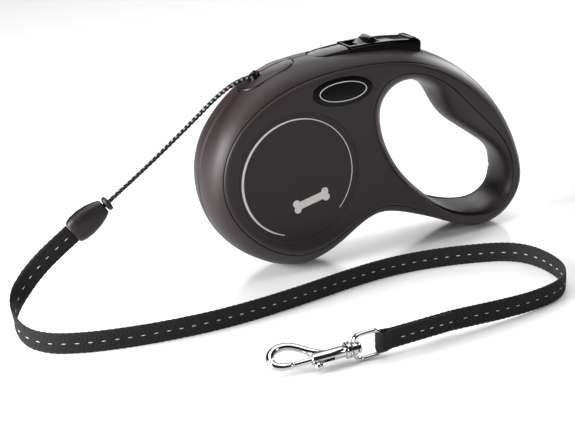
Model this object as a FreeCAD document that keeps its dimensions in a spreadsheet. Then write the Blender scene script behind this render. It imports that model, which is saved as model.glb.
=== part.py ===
import FreeCAD, Part
import math
import os
import Sketcher
from FreeCAD import Placement, Rotation, Vector

# Retractable cord leash, in millimetres. +Z is up, +X points towards the handle, and the
# photographed flank faces -Y. The origin lies on the standing surface, below the middle of
# the housing. The two housing halves part on the plane y = 0.

doc = FreeCAD.newDocument("retractable_leash")

SIZES = {
    "half_width": 16.3,      # from the parting plane to a flank
    "wall": 2.0,             # housing wall
    "drum_x": -42.0,         # drum axis
    "drum_z": 46.0,
    "disc_radius": 29.8,     # label disc on each flank
    "disc_depth": 0.8,
    "badge_long": 15.0,      # half lengths of the oval badge
    "badge_short": 6.6,
    "badge_proud": 0.7,
    "axle_radius": 3.5,
    "axle_half": 13.6,
    "axle_play": 0.05,
    "flange_radius": 34.4,   # over the brake teeth
    "flange_thick": 1.4,
    "drum_half": 9.8,
    "hub_radius": 16.2,
    "hub_wall": 1.6,
    "pack_radius": 25.0,     # over the wound cord
    "notch_depth": 3.0,
    "notch_width": 5.0,
    "notch_count": 24,
    "cord_radius": 1.0,
    "tape_width": 9.2,
    "tape_end_width": 8.4,
    "tape_thick": 1.4,
    "button_half": 6.8,
    "button_gap": 0.3,
    "pin_radius": 1.2,
    "pin_half": 10.5,
    "screw_radius": 1.5,
    "screw_head": 2.7,
    "screw_boss": 4.2,
    "eye_wire": 0.9,         # radius of the swivel eye's wire
    "hook_wire": 1.55,       # radius of the hook's bow
    "barrel_radius": 2.3,
    "bolt_radius": 1.1,
}
sheet = doc.addObject("Spreadsheet::Sheet", "Sizes")
for row, (alias, number) in enumerate(SIZES.items(), start=1):
    sheet.set(f"A{row}", alias)
    sheet.set(f"B{row}", str(number))
    sheet.setAlias(f"B{row}", alias)
doc.recompute()

# Side view of the housing, x and z, clockwise from the drum's contact with the ground. Each
# point is paired with the one where the flank's flat face begins.
OUTLINE = (
    ((-38.5, 0.2), (-40.0, 8.8)), ((-57.9, 6.2), (-54.5, 13.4)), ((-75.2, 21.3), (-69.1, 26.0)),
    ((-82.6, 42.3), (-77.0, 43.4)), ((-80.0, 61.6), (-75.0, 60.2)), ((-69.9, 77.3), (-66.6, 72.6)),
    ((-51.5, 91.0), (-48.9, 84.2)), ((-27.5, 96.1), (-26.8, 90.1)), ((-0.5, 95.6), (-0.9, 90.8)),
    ((21.8, 92.8), (19.3, 87.2)), ((46.3, 81.4), (41.9, 76.2)), ((67.8, 60.6), (62.9, 57.0)),
    ((80.2, 37.0), (75.4, 35.4)), ((82.6, 17.6), (78.0, 18.0)), ((73.3, 4.1), (70.7, 8.0)),
    ((56.0, 0.2), (55.7, 4.6)), ((36.5, 7.0), (37.5, 11.0)), ((17.4, 14.4), (18.7, 20.2)),
    ((1.2, 16.9), (1.7, 24.4)), ((-18.3, 6.3), (-21.7, 14.0)),
)
# The hand opening, the same way round: edge at the parting plane, edge at the flank.
WINDOW = (
    ((54.0, 10.4), (54.8, 8.2)), ((37.5, 14.9), (36.0, 13.8)), ((26.2, 24.0), (21.9, 22.9)),
    ((14.9, 36.2), (10.2, 34.8)), ((7.4, 49.6), (1.0, 48.8)), ((4.4, 61.8), (-3.2, 61.8)),
    ((5.3, 69.9), (-2.8, 73.6)), ((11.1, 76.4), (3.8, 82.4)), ((20.0, 78.5), (17.5, 85.0)),
    ((26.0, 76.4), (28.5, 81.6)), ((32.6, 71.6), (36.0, 77.4)), ((36.5, 64.2), (43.5, 72.2)),
    ((40.4, 58.0), (50.0, 66.8)), ((47.6, 51.8), (56.5, 60.4)), ((60.6, 42.4), (66.0, 50.0)),
    ((68.8, 34.5), (73.0, 38.6)), ((72.2, 25.3), (75.6, 27.0)), ((70.2, 15.8), (73.4, 15.4)),
    ((63.9, 11.2), (66.2, 9.4)),
)
# How the rim rounds over: share of the half width, share of the way to the flat face.
RIM_LEVELS = ((0.0, 0.0), (0.4, 0.12), (0.7, 0.42), (0.92, 0.9), (1.0, 1.25))
OPENING_LEVELS = ((-0.1, 0.0), (0.0, 0.0), (0.4, 0.1), (0.7, 0.36), (0.92, 0.85), (1.0, 1.08), (1.12, 1.3))

ALONG_Y = Rotation(Vector(1, 0, 0), -90)      # turns a primitive's own Z axis to +Y
SIDE_VIEW = Rotation(Vector(1, 0, 0), 90)     # turns a sketch's XY plane to XZ
SCREW_PLACES = ((-36.5, 86.2), (-8.0, 22.0), (22.5, 19.8), (54.0, 63.8), (76.8, 24.0))
BUTTON_PIVOT = Vector(-14.0, 0, 91.0)
PAWL_TIP_ANGLE = 35.5                         # degrees round the drum, from +X
GUIDE_CENTRE = Vector(-49.5, 0, 91.2)         # middle of the cord guide's outer face
GUIDE_SLOPE = 29.0                            # degrees that the guide rises towards +X
GUIDE_HALF_LENGTH = 13.4
GUIDE_HALF_WIDTH = 5.8
CORD_JOIN = Vector(-50.0, 0, 86.7)            # where the free cord continues the fed cord
COUPLING_TOP = Vector(-129.2, -10, 48.0)
COUPLING_END = Vector(-143.6, -10, 39.0)
EYE_BAR = Vector(-51.3, -104.5, 7.0)          # middle of the bar that the tape holds
HOOK_AXIS = Vector(-0.990, 0.114, -0.085)
HOOK_TILT = Vector(0.10, 0.90, 0.43)          # towards the hook's back, across its axis
TAPE_END_START = Vector(-18.5, -100.9, 7.0)
HOOK_AXIS.normalize()
EYE_UP = (Vector(0, 0, 1) - HOOK_AXIS * HOOK_AXIS.z).normalize()
EYE_FRAME = Placement(EYE_BAR, Rotation(HOOK_AXIS, EYE_UP.cross(HOOK_AXIS), EYE_UP, "XYZ"))
HOOK_UP = (HOOK_TILT - HOOK_AXIS * HOOK_AXIS.dot(HOOK_TILT)).normalize()
HOOK_FRAME = Placement(EYE_BAR, Rotation(HOOK_AXIS, HOOK_UP.cross(HOOK_AXIS), HOOK_UP, "XYZ"))

# The free cord, from inside the guide to the coupling.
CORD_ROUTE = (
    (-50.0, 0.0, 86.7), (-57.0, 0.0, 88.6), (-64.5, -0.4, 88.0), (-72.5, -1.3, 84.2),
    (-84.0, -3.2, 76.4), (-102.5, -6.0, 64.2), (-117.5, -8.6, 55.2), (-129.2, -10.0, 48.0),
)
# The tape, from the coupling down to the ground and round to the sewn end.
TAPE_ROUTE = (
    (-143.6, -10.0, 39.0), (-151.0, -10.0, 34.0), (-158.6, -9.8, 28.2), (-165.0, -9.8, 22.0),
    (-170.6, -11.4, 15.4), (-174.0, -17.2, 9.6), (-172.4, -27.0, 5.8), (-166.0, -35.4, 4.7),
    (-156.0, -41.1, 4.6), (-140.2, -45.8, 4.6), (-118.0, -49.3, 4.6), (-92.0, -50.2, 4.6),
    (-62.0, -46.5, 4.6), (-32.0, -40.4, 4.6), (-8.0, -37.7, 4.6), (14.0, -39.9, 4.6),
    (34.0, -45.2, 4.6), (46.5, -51.0, 4.6), (52.4, -59.8, 4.6), (53.6, -72.1, 4.6),
    (51.2, -85.2, 4.6), (42.0, -95.0, 4.6), (26.6, -99.5, 4.7), (8.4, -101.0, 5.2),
    (-6.3, -101.8, 6.2), (-18.4, -102.6, 7.0),
)
TAPE_TWIST_END = 6        # from this point of the route on, the tape stands on its edge


HANDLE_TAPER = 6.0        # degrees that each flank slopes inwards along the handle
TAPER_START = 18.0        # where the slope starts


def size(name):
    return getattr(sheet, name)


def bind(thing, **expressions):
    """Tie properties to spreadsheet cells, such as Radius='Sizes.axle_radius'."""
    for prop, expression in expressions.items():
        thing.setExpression(prop.replace("__", "."), expression)
    return thing


def at(thing, base, rotation=Rotation()):
    thing.Placement = Placement(Vector(base), rotation)
    return thing


def cylinder(name, radius, height, base, rotation=ALONG_Y):
    """Cylinder whose radius and height are expressions on the sheet, or plain numbers."""
    rod = doc.addObject("Part::Cylinder", name)
    bind(rod, Radius=str(radius), Height=str(height))
    return at(rod, base, rotation)


def box(name, corner, lengths, rotation=Rotation()):
    block = doc.addObject("Part::Box", name)
    block.Length, block.Width, block.Height = lengths
    return at(block, corner, rotation)


def cut(name, base, tool):
    result = doc.addObject("Part::Cut", name)
    result.Base, result.Tool = base, tool
    result.Refine = False
    return result


def fuse(name, parts):
    result = doc.addObject("Part::MultiFuse", name)
    result.Shapes = list(parts)
    result.Refine = False
    return result


def common(name, parts):
    result = doc.addObject("Part::MultiCommon", name)
    result.Shapes = list(parts)
    result.Refine = False
    return result


def feature(name, shape):
    result = doc.addObject("Part::Feature", name)
    result.Shape = shape
    return result


def solid_of(name, shape):
    solid = shape if shape.ShapeType == "Solid" else shape.Solids[0]
    return feature(name, solid)


def inward(points, distance):
    """Move each point of a clockwise outline towards its inside."""
    moved = []
    for index, (x, z) in enumerate(points):
        before = points[index - 1]
        after = points[(index + 1) % len(points)]
        along = Vector(after[0] - before[0], after[1] - before[1], 0).normalize()
        moved.append((x + distance * along.y, z - distance * along.x))
    return moved


def section(name, points, y_expression):
    """Sketch of a smooth closed curve, standing in the side view at its own depth."""
    curve = Part.BSplineCurve()
    curve.interpolate([Vector(x, z, 0) for x, z in points], PeriodicFlag=True)
    sketch = doc.addObject("Sketcher::SketchObject", name)
    sketch.addGeometry(curve, False)
    at(sketch, (0, 0, 0), SIDE_VIEW)
    return bind(sketch, Placement__Base__y=y_expression)


def rounded_block(name, pairs, levels, inset, depth, side=0):
    """Loft through the side view's sections: one half's (side -1 or 1) or both halves' (0)."""
    steps = [(side * share, blend) for share, blend in levels]
    if side == 0:
        steps = [(-share, blend) for share, blend in reversed(levels)] + list(levels[1:])
    sketches = []
    for number, (share, blend) in enumerate(steps):
        points = [(a[0] + blend * (b[0] - a[0]), a[1] + blend * (b[1] - a[1])) for a, b in pairs]
        sketches.append(section(f"{name}_{number}", inward(points, inset), f"{share} * ({depth})"))
    loft = doc.addObject("Part::Loft", name)
    loft.Sections = sketches
    loft.Solid = True
    return loft


def rounded_wire(points):
    """Straight runs joined by tangent arcs. Returns the wire and the arcs' radii."""
    points = [Vector(p) for p in points]
    edges = []
    radii = []
    start = points[0]
    for before, corner, after in zip(points, points[1:], points[2:]):
        entering = (corner - before).normalize()
        leaving = (after - corner).normalize()
        turn = entering.getAngle(leaving)
        reach = 0.45 * min(before.distanceToPoint(corner), corner.distanceToPoint(after))
        radius = reach / math.tan(turn / 2)
        arc_start = corner - entering * reach
        arc_end = corner + leaving * reach
        towards_centre = (leaving - entering).normalize()
        centre_distance = radius / math.cos(turn / 2)
        middle = corner + towards_centre * (centre_distance - radius)
        edges.append(Part.LineSegment(start, arc_start).toShape())
        edges.append(Part.Arc(arc_start, middle, arc_end).toShape())
        radii.append(radius)
        start = arc_end
    edges.append(Part.LineSegment(start, points[-1]).toShape())
    return Part.Wire(edges), radii


def tube(name, wire, radius):
    start = wire.Vertexes[0].Point
    direction = wire.Edges[0].tangentAt(wire.Edges[0].FirstParameter)
    ring = Part.Wire(Part.makeCircle(radius, start, direction))
    return solid_of(name, wire.makePipeShell([ring], True, True))


def report_cord(name, wire, radii, section_area, thing):
    print(f"{name}: length {wire.Length:.1f}, radii", [round(r, 1) for r in radii],
          f"volume {thing.Shape.Volume:.1f} against {section_area * wire.Length:.1f}")


NODES = {}


def node(name, thing):
    thing.Label = name
    NODES[name] = thing
    return thing


# ---------------------------------------------------------------- housing halves
def guide_prism(name, margin, low, high):
    """Oblong block square to the housing's rim where the cord comes out."""
    rotation = Rotation(Vector(0, 1, 0), -GUIDE_SLOPE)
    half = GUIDE_HALF_LENGTH - GUIDE_HALF_WIDTH
    width = GUIDE_HALF_WIDTH + margin
    pieces = []
    for side in (-half, half):
        foot = GUIDE_CENTRE + rotation.multVec(Vector(side, 0, low))
        pieces.append(cylinder(f"{name}_end", width, high - low, foot, rotation))
    corner = GUIDE_CENTRE + rotation.multVec(Vector(-half, -width, low))
    pieces.append(box(f"{name}_middle", corner, (2 * half, 2 * width, high - low), rotation))
    return fuse(name, pieces)


def button_prism(name, margin, x_low, x_high, z_low):
    """Block with a round front end, for the button's slot and its cover."""
    width = size("button_half") + margin
    nose = cylinder(f"{name}_nose", width, 20, (x_low + width, 0, z_low), Rotation())
    length = x_high - x_low - width
    return fuse(name, [nose, box(f"{name}_body", (x_low + width, -width, z_low), (length, 2 * width, 20))])


def ellipse_block(name, side, inner, outer, long_half, short_half):
    """Upright oval of the badge, between two depths on one flank."""
    oval = doc.addObject("Part::Ellipse", f"{name}_curve")
    bind(oval, MajorRadius=long_half, MinorRadius=short_half)
    at(oval, (-19.4, min(side * inner, side * outer), 81.8), ALONG_Y)
    block = doc.addObject("Part::Extrusion", name)
    block.Base = oval
    block.Dir = Vector(0, 1, 0)
    block.DirMode = "Custom"
    block.LengthFwd = abs(outer - inner)
    block.Solid = True
    return block


def drum_point(y=0.0):
    return Vector(size("drum_x"), y, size("drum_z"))


def bosses(side):
    """Screw posts, axle socket and pin socket of one half, as solids to fuse in."""
    reach = size("half_width") - 0.5 * size("wall")
    base = 0.0 if side > 0 else -reach
    posts = [cylinder("screw_post", "Sizes.screw_boss", reach, (x, base, z)) for x, z in SCREW_PLACES]
    socket_base = 10.2 if side > 0 else -reach
    posts.append(cylinder("axle_socket", 6.0, reach - 10.2, drum_point(socket_base)))
    pin_base = 7.3 if side > 0 else -13.0
    posts.append(cylinder("pin_socket", 3.0, 5.7, BUTTON_PIVOT + Vector(0, pin_base, 0)))
    return posts


def screw_reach(x):
    """Depth of a screw head's seat from the parting plane; the handle's end is thinner."""
    return 9.0 if x < 60 else 6.6


def openings_for(side):
    """Everything that is cut out of one half after its posts are in."""
    face = size("half_width")
    depth = size("disc_depth")
    recess_y = face - depth if side > 0 else -face - 1.0
    tools = [
        cylinder("disc_recess", "Sizes.disc_radius + 0.2", depth + 1.0, drum_point(recess_y)),
        ellipse_block("badge_recess", side, face - depth, face + 1.0,
                      "Sizes.badge_long + 0.2", "Sizes.badge_short + 0.2"),
        cylinder("axle_hole", "Sizes.axle_radius", "2 * Sizes.axle_half", drum_point(-size("axle_half"))),
        cylinder("pin_hole", "Sizes.pin_radius", "2 * Sizes.pin_half",
                 BUTTON_PIVOT - Vector(0, size("pin_half"), 0)),
        guide_prism("guide_slot", 0.0, -3.9, 9.0),
        button_prism("button_slot", size("button_gap"), -28.3, 26.6, 86.5),
    ]
    for x, z in SCREW_PLACES:
        if side > 0:
            tools.append(cylinder("screw_hole", "Sizes.screw_radius + 0.2", 10.0, (x, -0.5, z)))
            tools.append(cylinder("screw_well", "Sizes.screw_head + 0.2", 12.0, (x, screw_reach(x), z)))
        else:
            tools.append(cylinder("screw_pilot", "Sizes.screw_radius", 9.5, (x, -screw_reach(x) - 0.2, z)))
    return tools


def flank_taper(name, side, depth):
    """What lies outside the flank's slope on the handle, moved inwards by a depth."""
    slope = side * -HANDLE_TAPER
    turn = Rotation(Vector(0, 0, 1), slope)
    foot = Vector(TAPER_START, side * (size("half_width") - depth), -5)
    if side < 0:
        foot -= turn.multVec(Vector(0, 20, 0))
    return box(name, foot, (110, 20, 120), turn)


def shell(name, side):
    """One half of the housing: a hollow skin with its posts, opened up where parts go through."""
    wall, full = size("wall"), "Sizes.half_width"
    outer = rounded_block(f"{name}_outer", OUTLINE, RIM_LEVELS, 0.0, full, side)
    outer = cut(f"{name}_tapered", outer, flank_taper(f"{name}_taper", side, 0.0))
    hollow = rounded_block(f"{name}_hollow", OUTLINE, RIM_LEVELS, wall, f"{full} - Sizes.wall", side)
    hollow = cut(f"{name}_hollow_tapered", hollow, flank_taper(f"{name}_hollow_taper", side, wall))
    hand_wall = rounded_block(f"{name}_hand_wall", WINDOW, OPENING_LEVELS, -wall, full, side)
    hand_room = rounded_block(f"{name}_hand_room", WINDOW, OPENING_LEVELS, 0.0, full, side)
    skin = cut(f"{name}_skin", outer, cut(f"{name}_room", hollow, hand_wall))
    posts = common(f"{name}_posts", [fuse(f"{name}_post_set", bosses(side)), outer])
    body = cut(f"{name}_open", fuse(f"{name}_filled", [skin, posts]), hand_room)
    for number, tool in enumerate(openings_for(side)):
        body = cut(f"{name}_cut_{number}", body, tool)
    return node(name, body)


shell("left_shell", -1)
shell("right_shell", 1)

# ---------------------------------------------------------------- discs and badges on the flanks
for flank, side in (("left", -1), ("right", 1)):
    face = size("half_width")
    disc_y = face - size("disc_depth") if side > 0 else -face
    node(f"{flank}_label_disc",
         cylinder(f"{flank}_disc", "Sizes.disc_radius", "Sizes.disc_depth", drum_point(disc_y)))
    node(f"{flank}_badge",
         ellipse_block(f"{flank}_oval", side, face - size("disc_depth"), face + size("badge_proud"),
                       "Sizes.badge_long", "Sizes.badge_short"))

# ---------------------------------------------------------------- cord guide
guide_skin = rounded_block("guide_skin", OUTLINE, RIM_LEVELS, -0.5, "Sizes.half_width + 0.5")
guide_bore = cylinder("guide_bore", 1.8, 24, (-64.0, 0, 90.7), Rotation(Vector(0.96, 0, -0.28), 0))
guide_bore.Placement = Placement(Vector(-64.0, 0, 90.6), Rotation(Vector(0, 0, 1), Vector(0.96, 0, -0.28)))
guide_block = common("guide_block", [guide_prism("guide_body", 0.0, -3.9, 9.0), guide_skin])
node("cord_guide", cut("guide_drilled", guide_block, guide_bore))

# ---------------------------------------------------------------- screws
screws = []
for x, z in SCREW_PLACES:
    reach = screw_reach(x)
    shank = cylinder("screw_shank", "Sizes.screw_radius", 2 * reach, (x, 0.1 - reach, z))
    head = cylinder("screw_cap", "Sizes.screw_head", 2.0, (x, reach, z))
    slot = box("screw_slot", (x - 1.6, reach + 1.2, z - 0.3), (3.2, 2.0, 0.6))
    screws.append(cut("screw", fuse("screw_blank", [shank, head]), slot))
node("housing_screws", fuse("screw_group", screws))

# ---------------------------------------------------------------- drum, spring and wound cord
node("drum_axle", cylinder("axle_rod", "Sizes.axle_radius", "2 * Sizes.axle_half",
                           drum_point(-size("axle_half"))))


def origin_plane(body, role):
    return [f for f in body.Origin.OriginFeatures if f.Role == role][0]


def body_sketch(body, name, role="XZ_Plane"):
    sketch = body.newObject("Sketcher::SketchObject", name)
    sketch.AttachmentSupport = [(origin_plane(body, role), "")]
    sketch.MapMode = "FlatFace"
    return sketch


def closed_lines(sketch, points):
    corners = [Vector(x, y, 0) for x, y in points]
    for index, start in enumerate(corners):
        sketch.addGeometry(Part.LineSegment(start, corners[(index + 1) % len(corners)]), False)
        if index:
            sketch.addConstraint(Sketcher.Constraint("Coincident", index - 1, 2, index, 1))
    sketch.addConstraint(Sketcher.Constraint("Coincident", len(corners) - 1, 2, 0, 1))


def drum_body():
    """Hub with two toothed flanges, turned about its own Z axis and open on one face."""
    body = doc.addObject("PartDesign::Body", "drum_body")
    bore = size("axle_radius") + size("axle_play")
    rim, half, plate = size("flange_radius"), size("drum_half"), size("flange_thick")
    hub, room = size("hub_radius"), size("hub_radius") - size("hub_wall")
    profile = body_sketch(body, "drum_profile")
    closed_lines(profile, ((bore, -half), (rim, -half), (rim, plate - half), (hub, plate - half),
                           (hub, half - plate), (rim, half - plate), (rim, half), (room, half),
                           (room, plate - half), (bore, plate - half)))
    turned = body.newObject("PartDesign::Revolution", "drum_turned")
    turned.Profile = profile
    turned.ReferenceAxis = (profile, ["V_Axis"])
    turned.Angle = 360
    doc.recompute()
    notch = body_sketch(body, "notch_outline", "XY_Plane")
    low, high = rim - size("notch_depth"), rim + 1.0
    across = 0.5 * size("notch_width")
    closed_lines(notch, ((low, -0.6 * across), (high, -across), (high, across), (low, 0.6 * across)))
    pocket = body.newObject("PartDesign::Pocket", "notch_cut")
    pocket.Profile = notch
    pocket.Type = "ThroughAll"
    pocket.SideType = "Symmetric"
    doc.recompute()
    ring = body.newObject("PartDesign::PolarPattern", "notch_ring")
    ring.Originals = [pocket]
    ring.Axis = (origin_axis(body), [""])
    ring.Angle = 360
    bind(ring, Occurrences="Sizes.notch_count")
    body.Tip = ring
    doc.recompute()
    print("drum volume", round(turned.Shape.Volume), "with notches", round(ring.Shape.Volume))
    spin = Rotation(Vector(0, 1, 0), -PAWL_TIP_ANGLE)
    return at(body, drum_point(), spin.multiply(ALONG_Y))


def origin_axis(body, role="Z_Axis"):
    return [f for f in body.Origin.OriginFeatures if f.Role == role][0]


def ring_disc(name, outer, inner, height, y):
    return cut(name, cylinder(f"{name}_outer", outer, height, drum_point(y)),
               cylinder(f"{name}_inner", inner, height, drum_point(y)))


def spiral_spring():
    """Flat clock-spring strip wound in the hub."""
    turns, strip, inner, outer = 6.0, 0.4, 4.6, 13.4
    steps = int(turns * 16)
    edges = []
    for offset in (0.0, strip):
        points = []
        for step in range(steps + 1):
            angle = 2 * math.pi * turns * step / steps
            radius = inner + offset + (outer - inner) * step / steps
            points.append(Vector(radius * math.cos(angle), radius * math.sin(angle), 0))
        curve = Part.BSplineCurve()
        curve.interpolate(points)
        edges.append(curve.toShape())
    ends = [Part.LineSegment(edges[0].Vertexes[i].Point, edges[1].Vertexes[i].Point).toShape() for i in (0, 1)]
    face = Part.Face(Part.Wire(Part.__sortEdges__([edges[0], ends[1], edges[1], ends[0]])))
    strip_solid = feature("spring_strip", face.extrude(Vector(0, 0, 15.6)))
    return at(strip_solid, drum_point(-7.9), ALONG_Y)


node("cord_drum", drum_body())
node("spring_cover", ring_disc("cover_ring", "Sizes.hub_radius - Sizes.hub_wall",
                               "Sizes.axle_radius + Sizes.axle_play", 1.2, size("drum_half") - 1.3))
node("power_spring", spiral_spring())
node("cord_pack", ring_disc("pack_ring", "Sizes.pack_radius", "Sizes.hub_radius",
                            "2 * (Sizes.drum_half - Sizes.flange_thick) - 0.2",
                            size("flange_thick") - size("drum_half") + 0.1))

# ---------------------------------------------------------------- brake button, lock and pawl
BUTTON_TOP = ((-28.0, 95.6), (-20.0, 97.0), (-10.4, 98.0), (0.0, 98.3), (12.0, 97.8), (26.2, 96.4))


def side_block(name, points, half):
    """Side-view outline of straight lines, padded to both sides of the parting plane."""
    body = doc.addObject("PartDesign::Body", name)
    outline = body_sketch(body, f"{name}_outline")
    closed_lines(outline, points)
    pad = body.newObject("PartDesign::Pad", f"{name}_pad")
    pad.Profile = outline
    pad.SideType = "Symmetric"
    bind(pad, Length=f"2 * ({half})")
    body.Tip = pad
    doc.recompute()
    return body


def filleted(name, base, radius, chosen):
    """Round the edges of a block that a test on their middle point picks out."""
    doc.recompute()
    result = doc.addObject("Part::Fillet", name)
    result.Base = base
    picked = []
    for number, edge in enumerate(base.Shape.Edges, start=1):
        middle = edge.valueAt(0.5 * (edge.FirstParameter + edge.LastParameter))
        if chosen(middle):
            picked.append((number, radius, radius))
    result.Edges = picked
    return result


cover_blank = side_block("cover_blank", BUTTON_TOP[:3] + ((-10.4, 94.6), (-24.0, 93.0), (-27.9, 94.2)),
                         "Sizes.button_half + Sizes.button_gap")
cover_plan = button_prism("cover_plan", size("button_gap"), -28.3, -10.0, 85.0)
node("button_cover", common("cover_trimmed", [cover_blank, cover_plan]))

button_blank = side_block("button_blank", BUTTON_TOP[3:] + ((26.2, 87.6), (-10.1, 89.6), (-10.1, 98.0)),
                          "Sizes.button_half")
button_round = filleted("button_round", button_blank, 1.2,
                        lambda p: p.z > 95.5 and abs(p.y) > 6 and p.x > -9.9 or
                        p.x > 26 and abs(p.y) > 6)
lug = cylinder("button_lug", 2.6, 12.4, BUTTON_PIVOT - Vector(0, 6.2, 0))
lug_arm = box("button_arm", (-14.0, -6.2, 87.5), (6.0, 12.4, 5.0))
track = box("lock_track", (-9.6, -4.7, 96.6), (15.2, 9.4, 6.0))
pin_room = cylinder("pin_room", "Sizes.pin_radius + 0.06", 30, BUTTON_PIVOT - Vector(0, 15, 0))
button_solid = fuse("button_solid", [button_round, lug, lug_arm])
node("brake_button", cut("button_cut", button_solid, fuse("button_tools", [track, pin_room])))

slider_blank = side_block("slider_blank", ((-4.4, 96.7), (-4.4, 97.9), (-1.0, 98.6), (2.2, 100.6),
                                           (3.4, 100.5), (5.2, 97.9), (5.2, 96.7)), "4.4")
node("lock_slider", slider_blank)

pawl = side_block("pawl_blade", ((-16.0, 87.5), (-8.4, 87.5), (-7.2, 76.0), (-11.0, 65.6), (-12.8, 65.9),
                                 (-12.9, 69.0), (-13.1, 76.0)), "Sizes.drum_half")
node("brake_pawl", pawl)
node("button_pin", cylinder("pin_rod", "Sizes.pin_radius", "2 * Sizes.pin_half",
                            BUTTON_PIVOT - Vector(0, size("pin_half"), 0)))


def coil(name, radius, wire, pitch, height, place, flats=0):
    """Helical spring, standing on its own XY plane; flats counts the sides of a drawn wire that isn't round."""
    spine = doc.addObject("Part::Helix", f"{name}_spine")
    spine.Radius, spine.Pitch, spine.Height = radius, pitch, height
    if flats:
        ring = doc.addObject("Part::RegularPolygon", f"{name}_wire")
        ring.Polygon, ring.Circumradius = flats, wire
    else:
        ring = doc.addObject("Part::Circle", f"{name}_wire")
        ring.Radius = wire
    at(ring, (radius, 0, 0), SIDE_VIEW)
    spring = doc.addObject("Part::Sweep", name)
    spring.Sections = [ring]
    spring.Spine = (spine, [])
    spring.Solid = True
    spring.Frenet = True
    spring.Placement = place
    return spring


node("button_spring", coil("return_coil", 2.4, 0.35, 1.5, 6.6, Placement(Vector(15.0, 0, 81.2), Rotation())))

# ---------------------------------------------------------------- cord, stop ring and coupling
pack_distance = CORD_JOIN - drum_point()
lead_angle = math.atan2(pack_distance.z, pack_distance.x) - math.acos(
    (size("pack_radius") + 1.3) / pack_distance.Length)
lead_start = drum_point() + Vector(math.cos(lead_angle), 0, math.sin(lead_angle)) * (size("pack_radius") + 1.3)
lead_wire = Part.Wire(Part.LineSegment(lead_start, CORD_JOIN).toShape())
node("feed_cord", tube("feed_tube", lead_wire, size("cord_radius")))

cord_wire, cord_radii = rounded_wire(CORD_ROUTE)
node("cord_line", tube("cord_tube", cord_wire, size("cord_radius")))
report_cord("cord_line", cord_wire, cord_radii, math.pi * size("cord_radius") ** 2, NODES["cord_line"])

coupling_axis = (COUPLING_END - COUPLING_TOP).normalize()
coupling_width = Vector(coupling_axis.z, 0, -coupling_axis.x)
coupling_turn = Rotation(coupling_width, Vector(0, 1, 0), coupling_axis, "ZYX")
ring_base = COUPLING_TOP - coupling_axis * 2.8
stop_blank = cylinder("stop_blank", 3.3, 2.4, ring_base, coupling_turn)
stop_round = filleted("stop_round", stop_blank, 1.0, lambda p: True)
stop_hole = cylinder("stop_hole", "Sizes.cord_radius", 6.0, ring_base - coupling_axis, coupling_turn)
node("stop_ring", cut("stop_cut", stop_round, stop_hole))

# Coupling sections: share of its length, half width, half thickness.
COUPLING_SECTIONS = ((0.0, 3.3, 2.6), (0.3, 5.4, 3.6), (0.65, 6.1, 3.9), (0.92, 5.6, 3.4), (1.0, 4.9, 2.8))
coupling_length = (COUPLING_END - COUPLING_TOP).Length


def coupling_block():
    ovals = []
    for share, width, thick in COUPLING_SECTIONS:
        oval = doc.addObject("Part::Ellipse", "coupling_oval")
        oval.MajorRadius, oval.MinorRadius = width, thick
        at(oval, COUPLING_TOP + coupling_axis * share * coupling_length, coupling_turn)
        ovals.append(oval)
    block = doc.addObject("Part::Loft", "coupling_block")
    block.Sections = ovals
    block.Solid = True
    return block


coupling = coupling_block()
knot_centre = COUPLING_TOP + coupling_axis * 7.0
knot_room = doc.addObject("Part::Sphere", "knot_room")
knot_room.Radius = 2.3
at(knot_room, knot_centre)
hollow_coupling = cut("hollow_coupling", coupling, knot_room)
for half_name, low in (("coupling_front", -30.0), ("coupling_back", -10.0)):
    room = box(f"{half_name}_room", (-160, low, 20), (50, 20, 50))
    node(half_name, common(f"{half_name}_solid", [hollow_coupling, room]))
knot = doc.addObject("Part::Sphere", "knot_ball")
knot.Radius = 2.1
node("cord_knot", at(knot, knot_centre))

# ---------------------------------------------------------------- tape
tape_wire, tape_radii = rounded_wire(TAPE_ROUTE)


def tape_section(point, along, up):
    """Rectangle of the tape's section, square to its run."""
    side = along.cross(up).normalize() * (0.5 * size("tape_thick"))
    rise = side.cross(along).normalize() * (0.5 * size("tape_width"))
    corners = [point + side + rise, point - side + rise, point - side - rise, point + side - rise]
    return Part.makePolygon(corners + corners[:1])


def tape_up(point):
    """The tape lies in the upright plane of the coupling and ends on its edge."""
    falling = Vector(*TAPE_ROUTE[TAPE_TWIST_END]).x
    turned = min(1.0, max(0.0, (COUPLING_END.z - point.z) / (COUPLING_END.z - 5.0)))
    if point.x > falling + 4.0 and point.y < -30:
        turned = 1.0
    lean = coupling_width if coupling_width.z > 0 else coupling_width * -1
    return (lean * (1 - turned) + Vector(0, 0, 1) * turned).normalize()


def tape_stations():
    sections = []
    for edge in tape_wire.Edges:
        curved = edge.Curve.TypeId == "Part::GeomCircle"
        shares = (0.0, 0.33, 0.67) if curved else (0.0,)
        for share in shares:
            value = edge.FirstParameter + share * (edge.LastParameter - edge.FirstParameter)
            point = edge.valueAt(value)
            sections.append(tape_section(point, edge.tangentAt(value), tape_up(point)))
    last = tape_wire.Edges[-1]
    end = last.valueAt(last.LastParameter)
    sections.append(tape_section(end, last.tangentAt(last.LastParameter), tape_up(end)))
    return sections


node("tape_run", solid_of("tape_band", Part.makeLoft(tape_stations(), True, True)))
report_cord("tape_run", tape_wire, tape_radii, size("tape_width") * size("tape_thick"), NODES["tape_run"])


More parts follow.
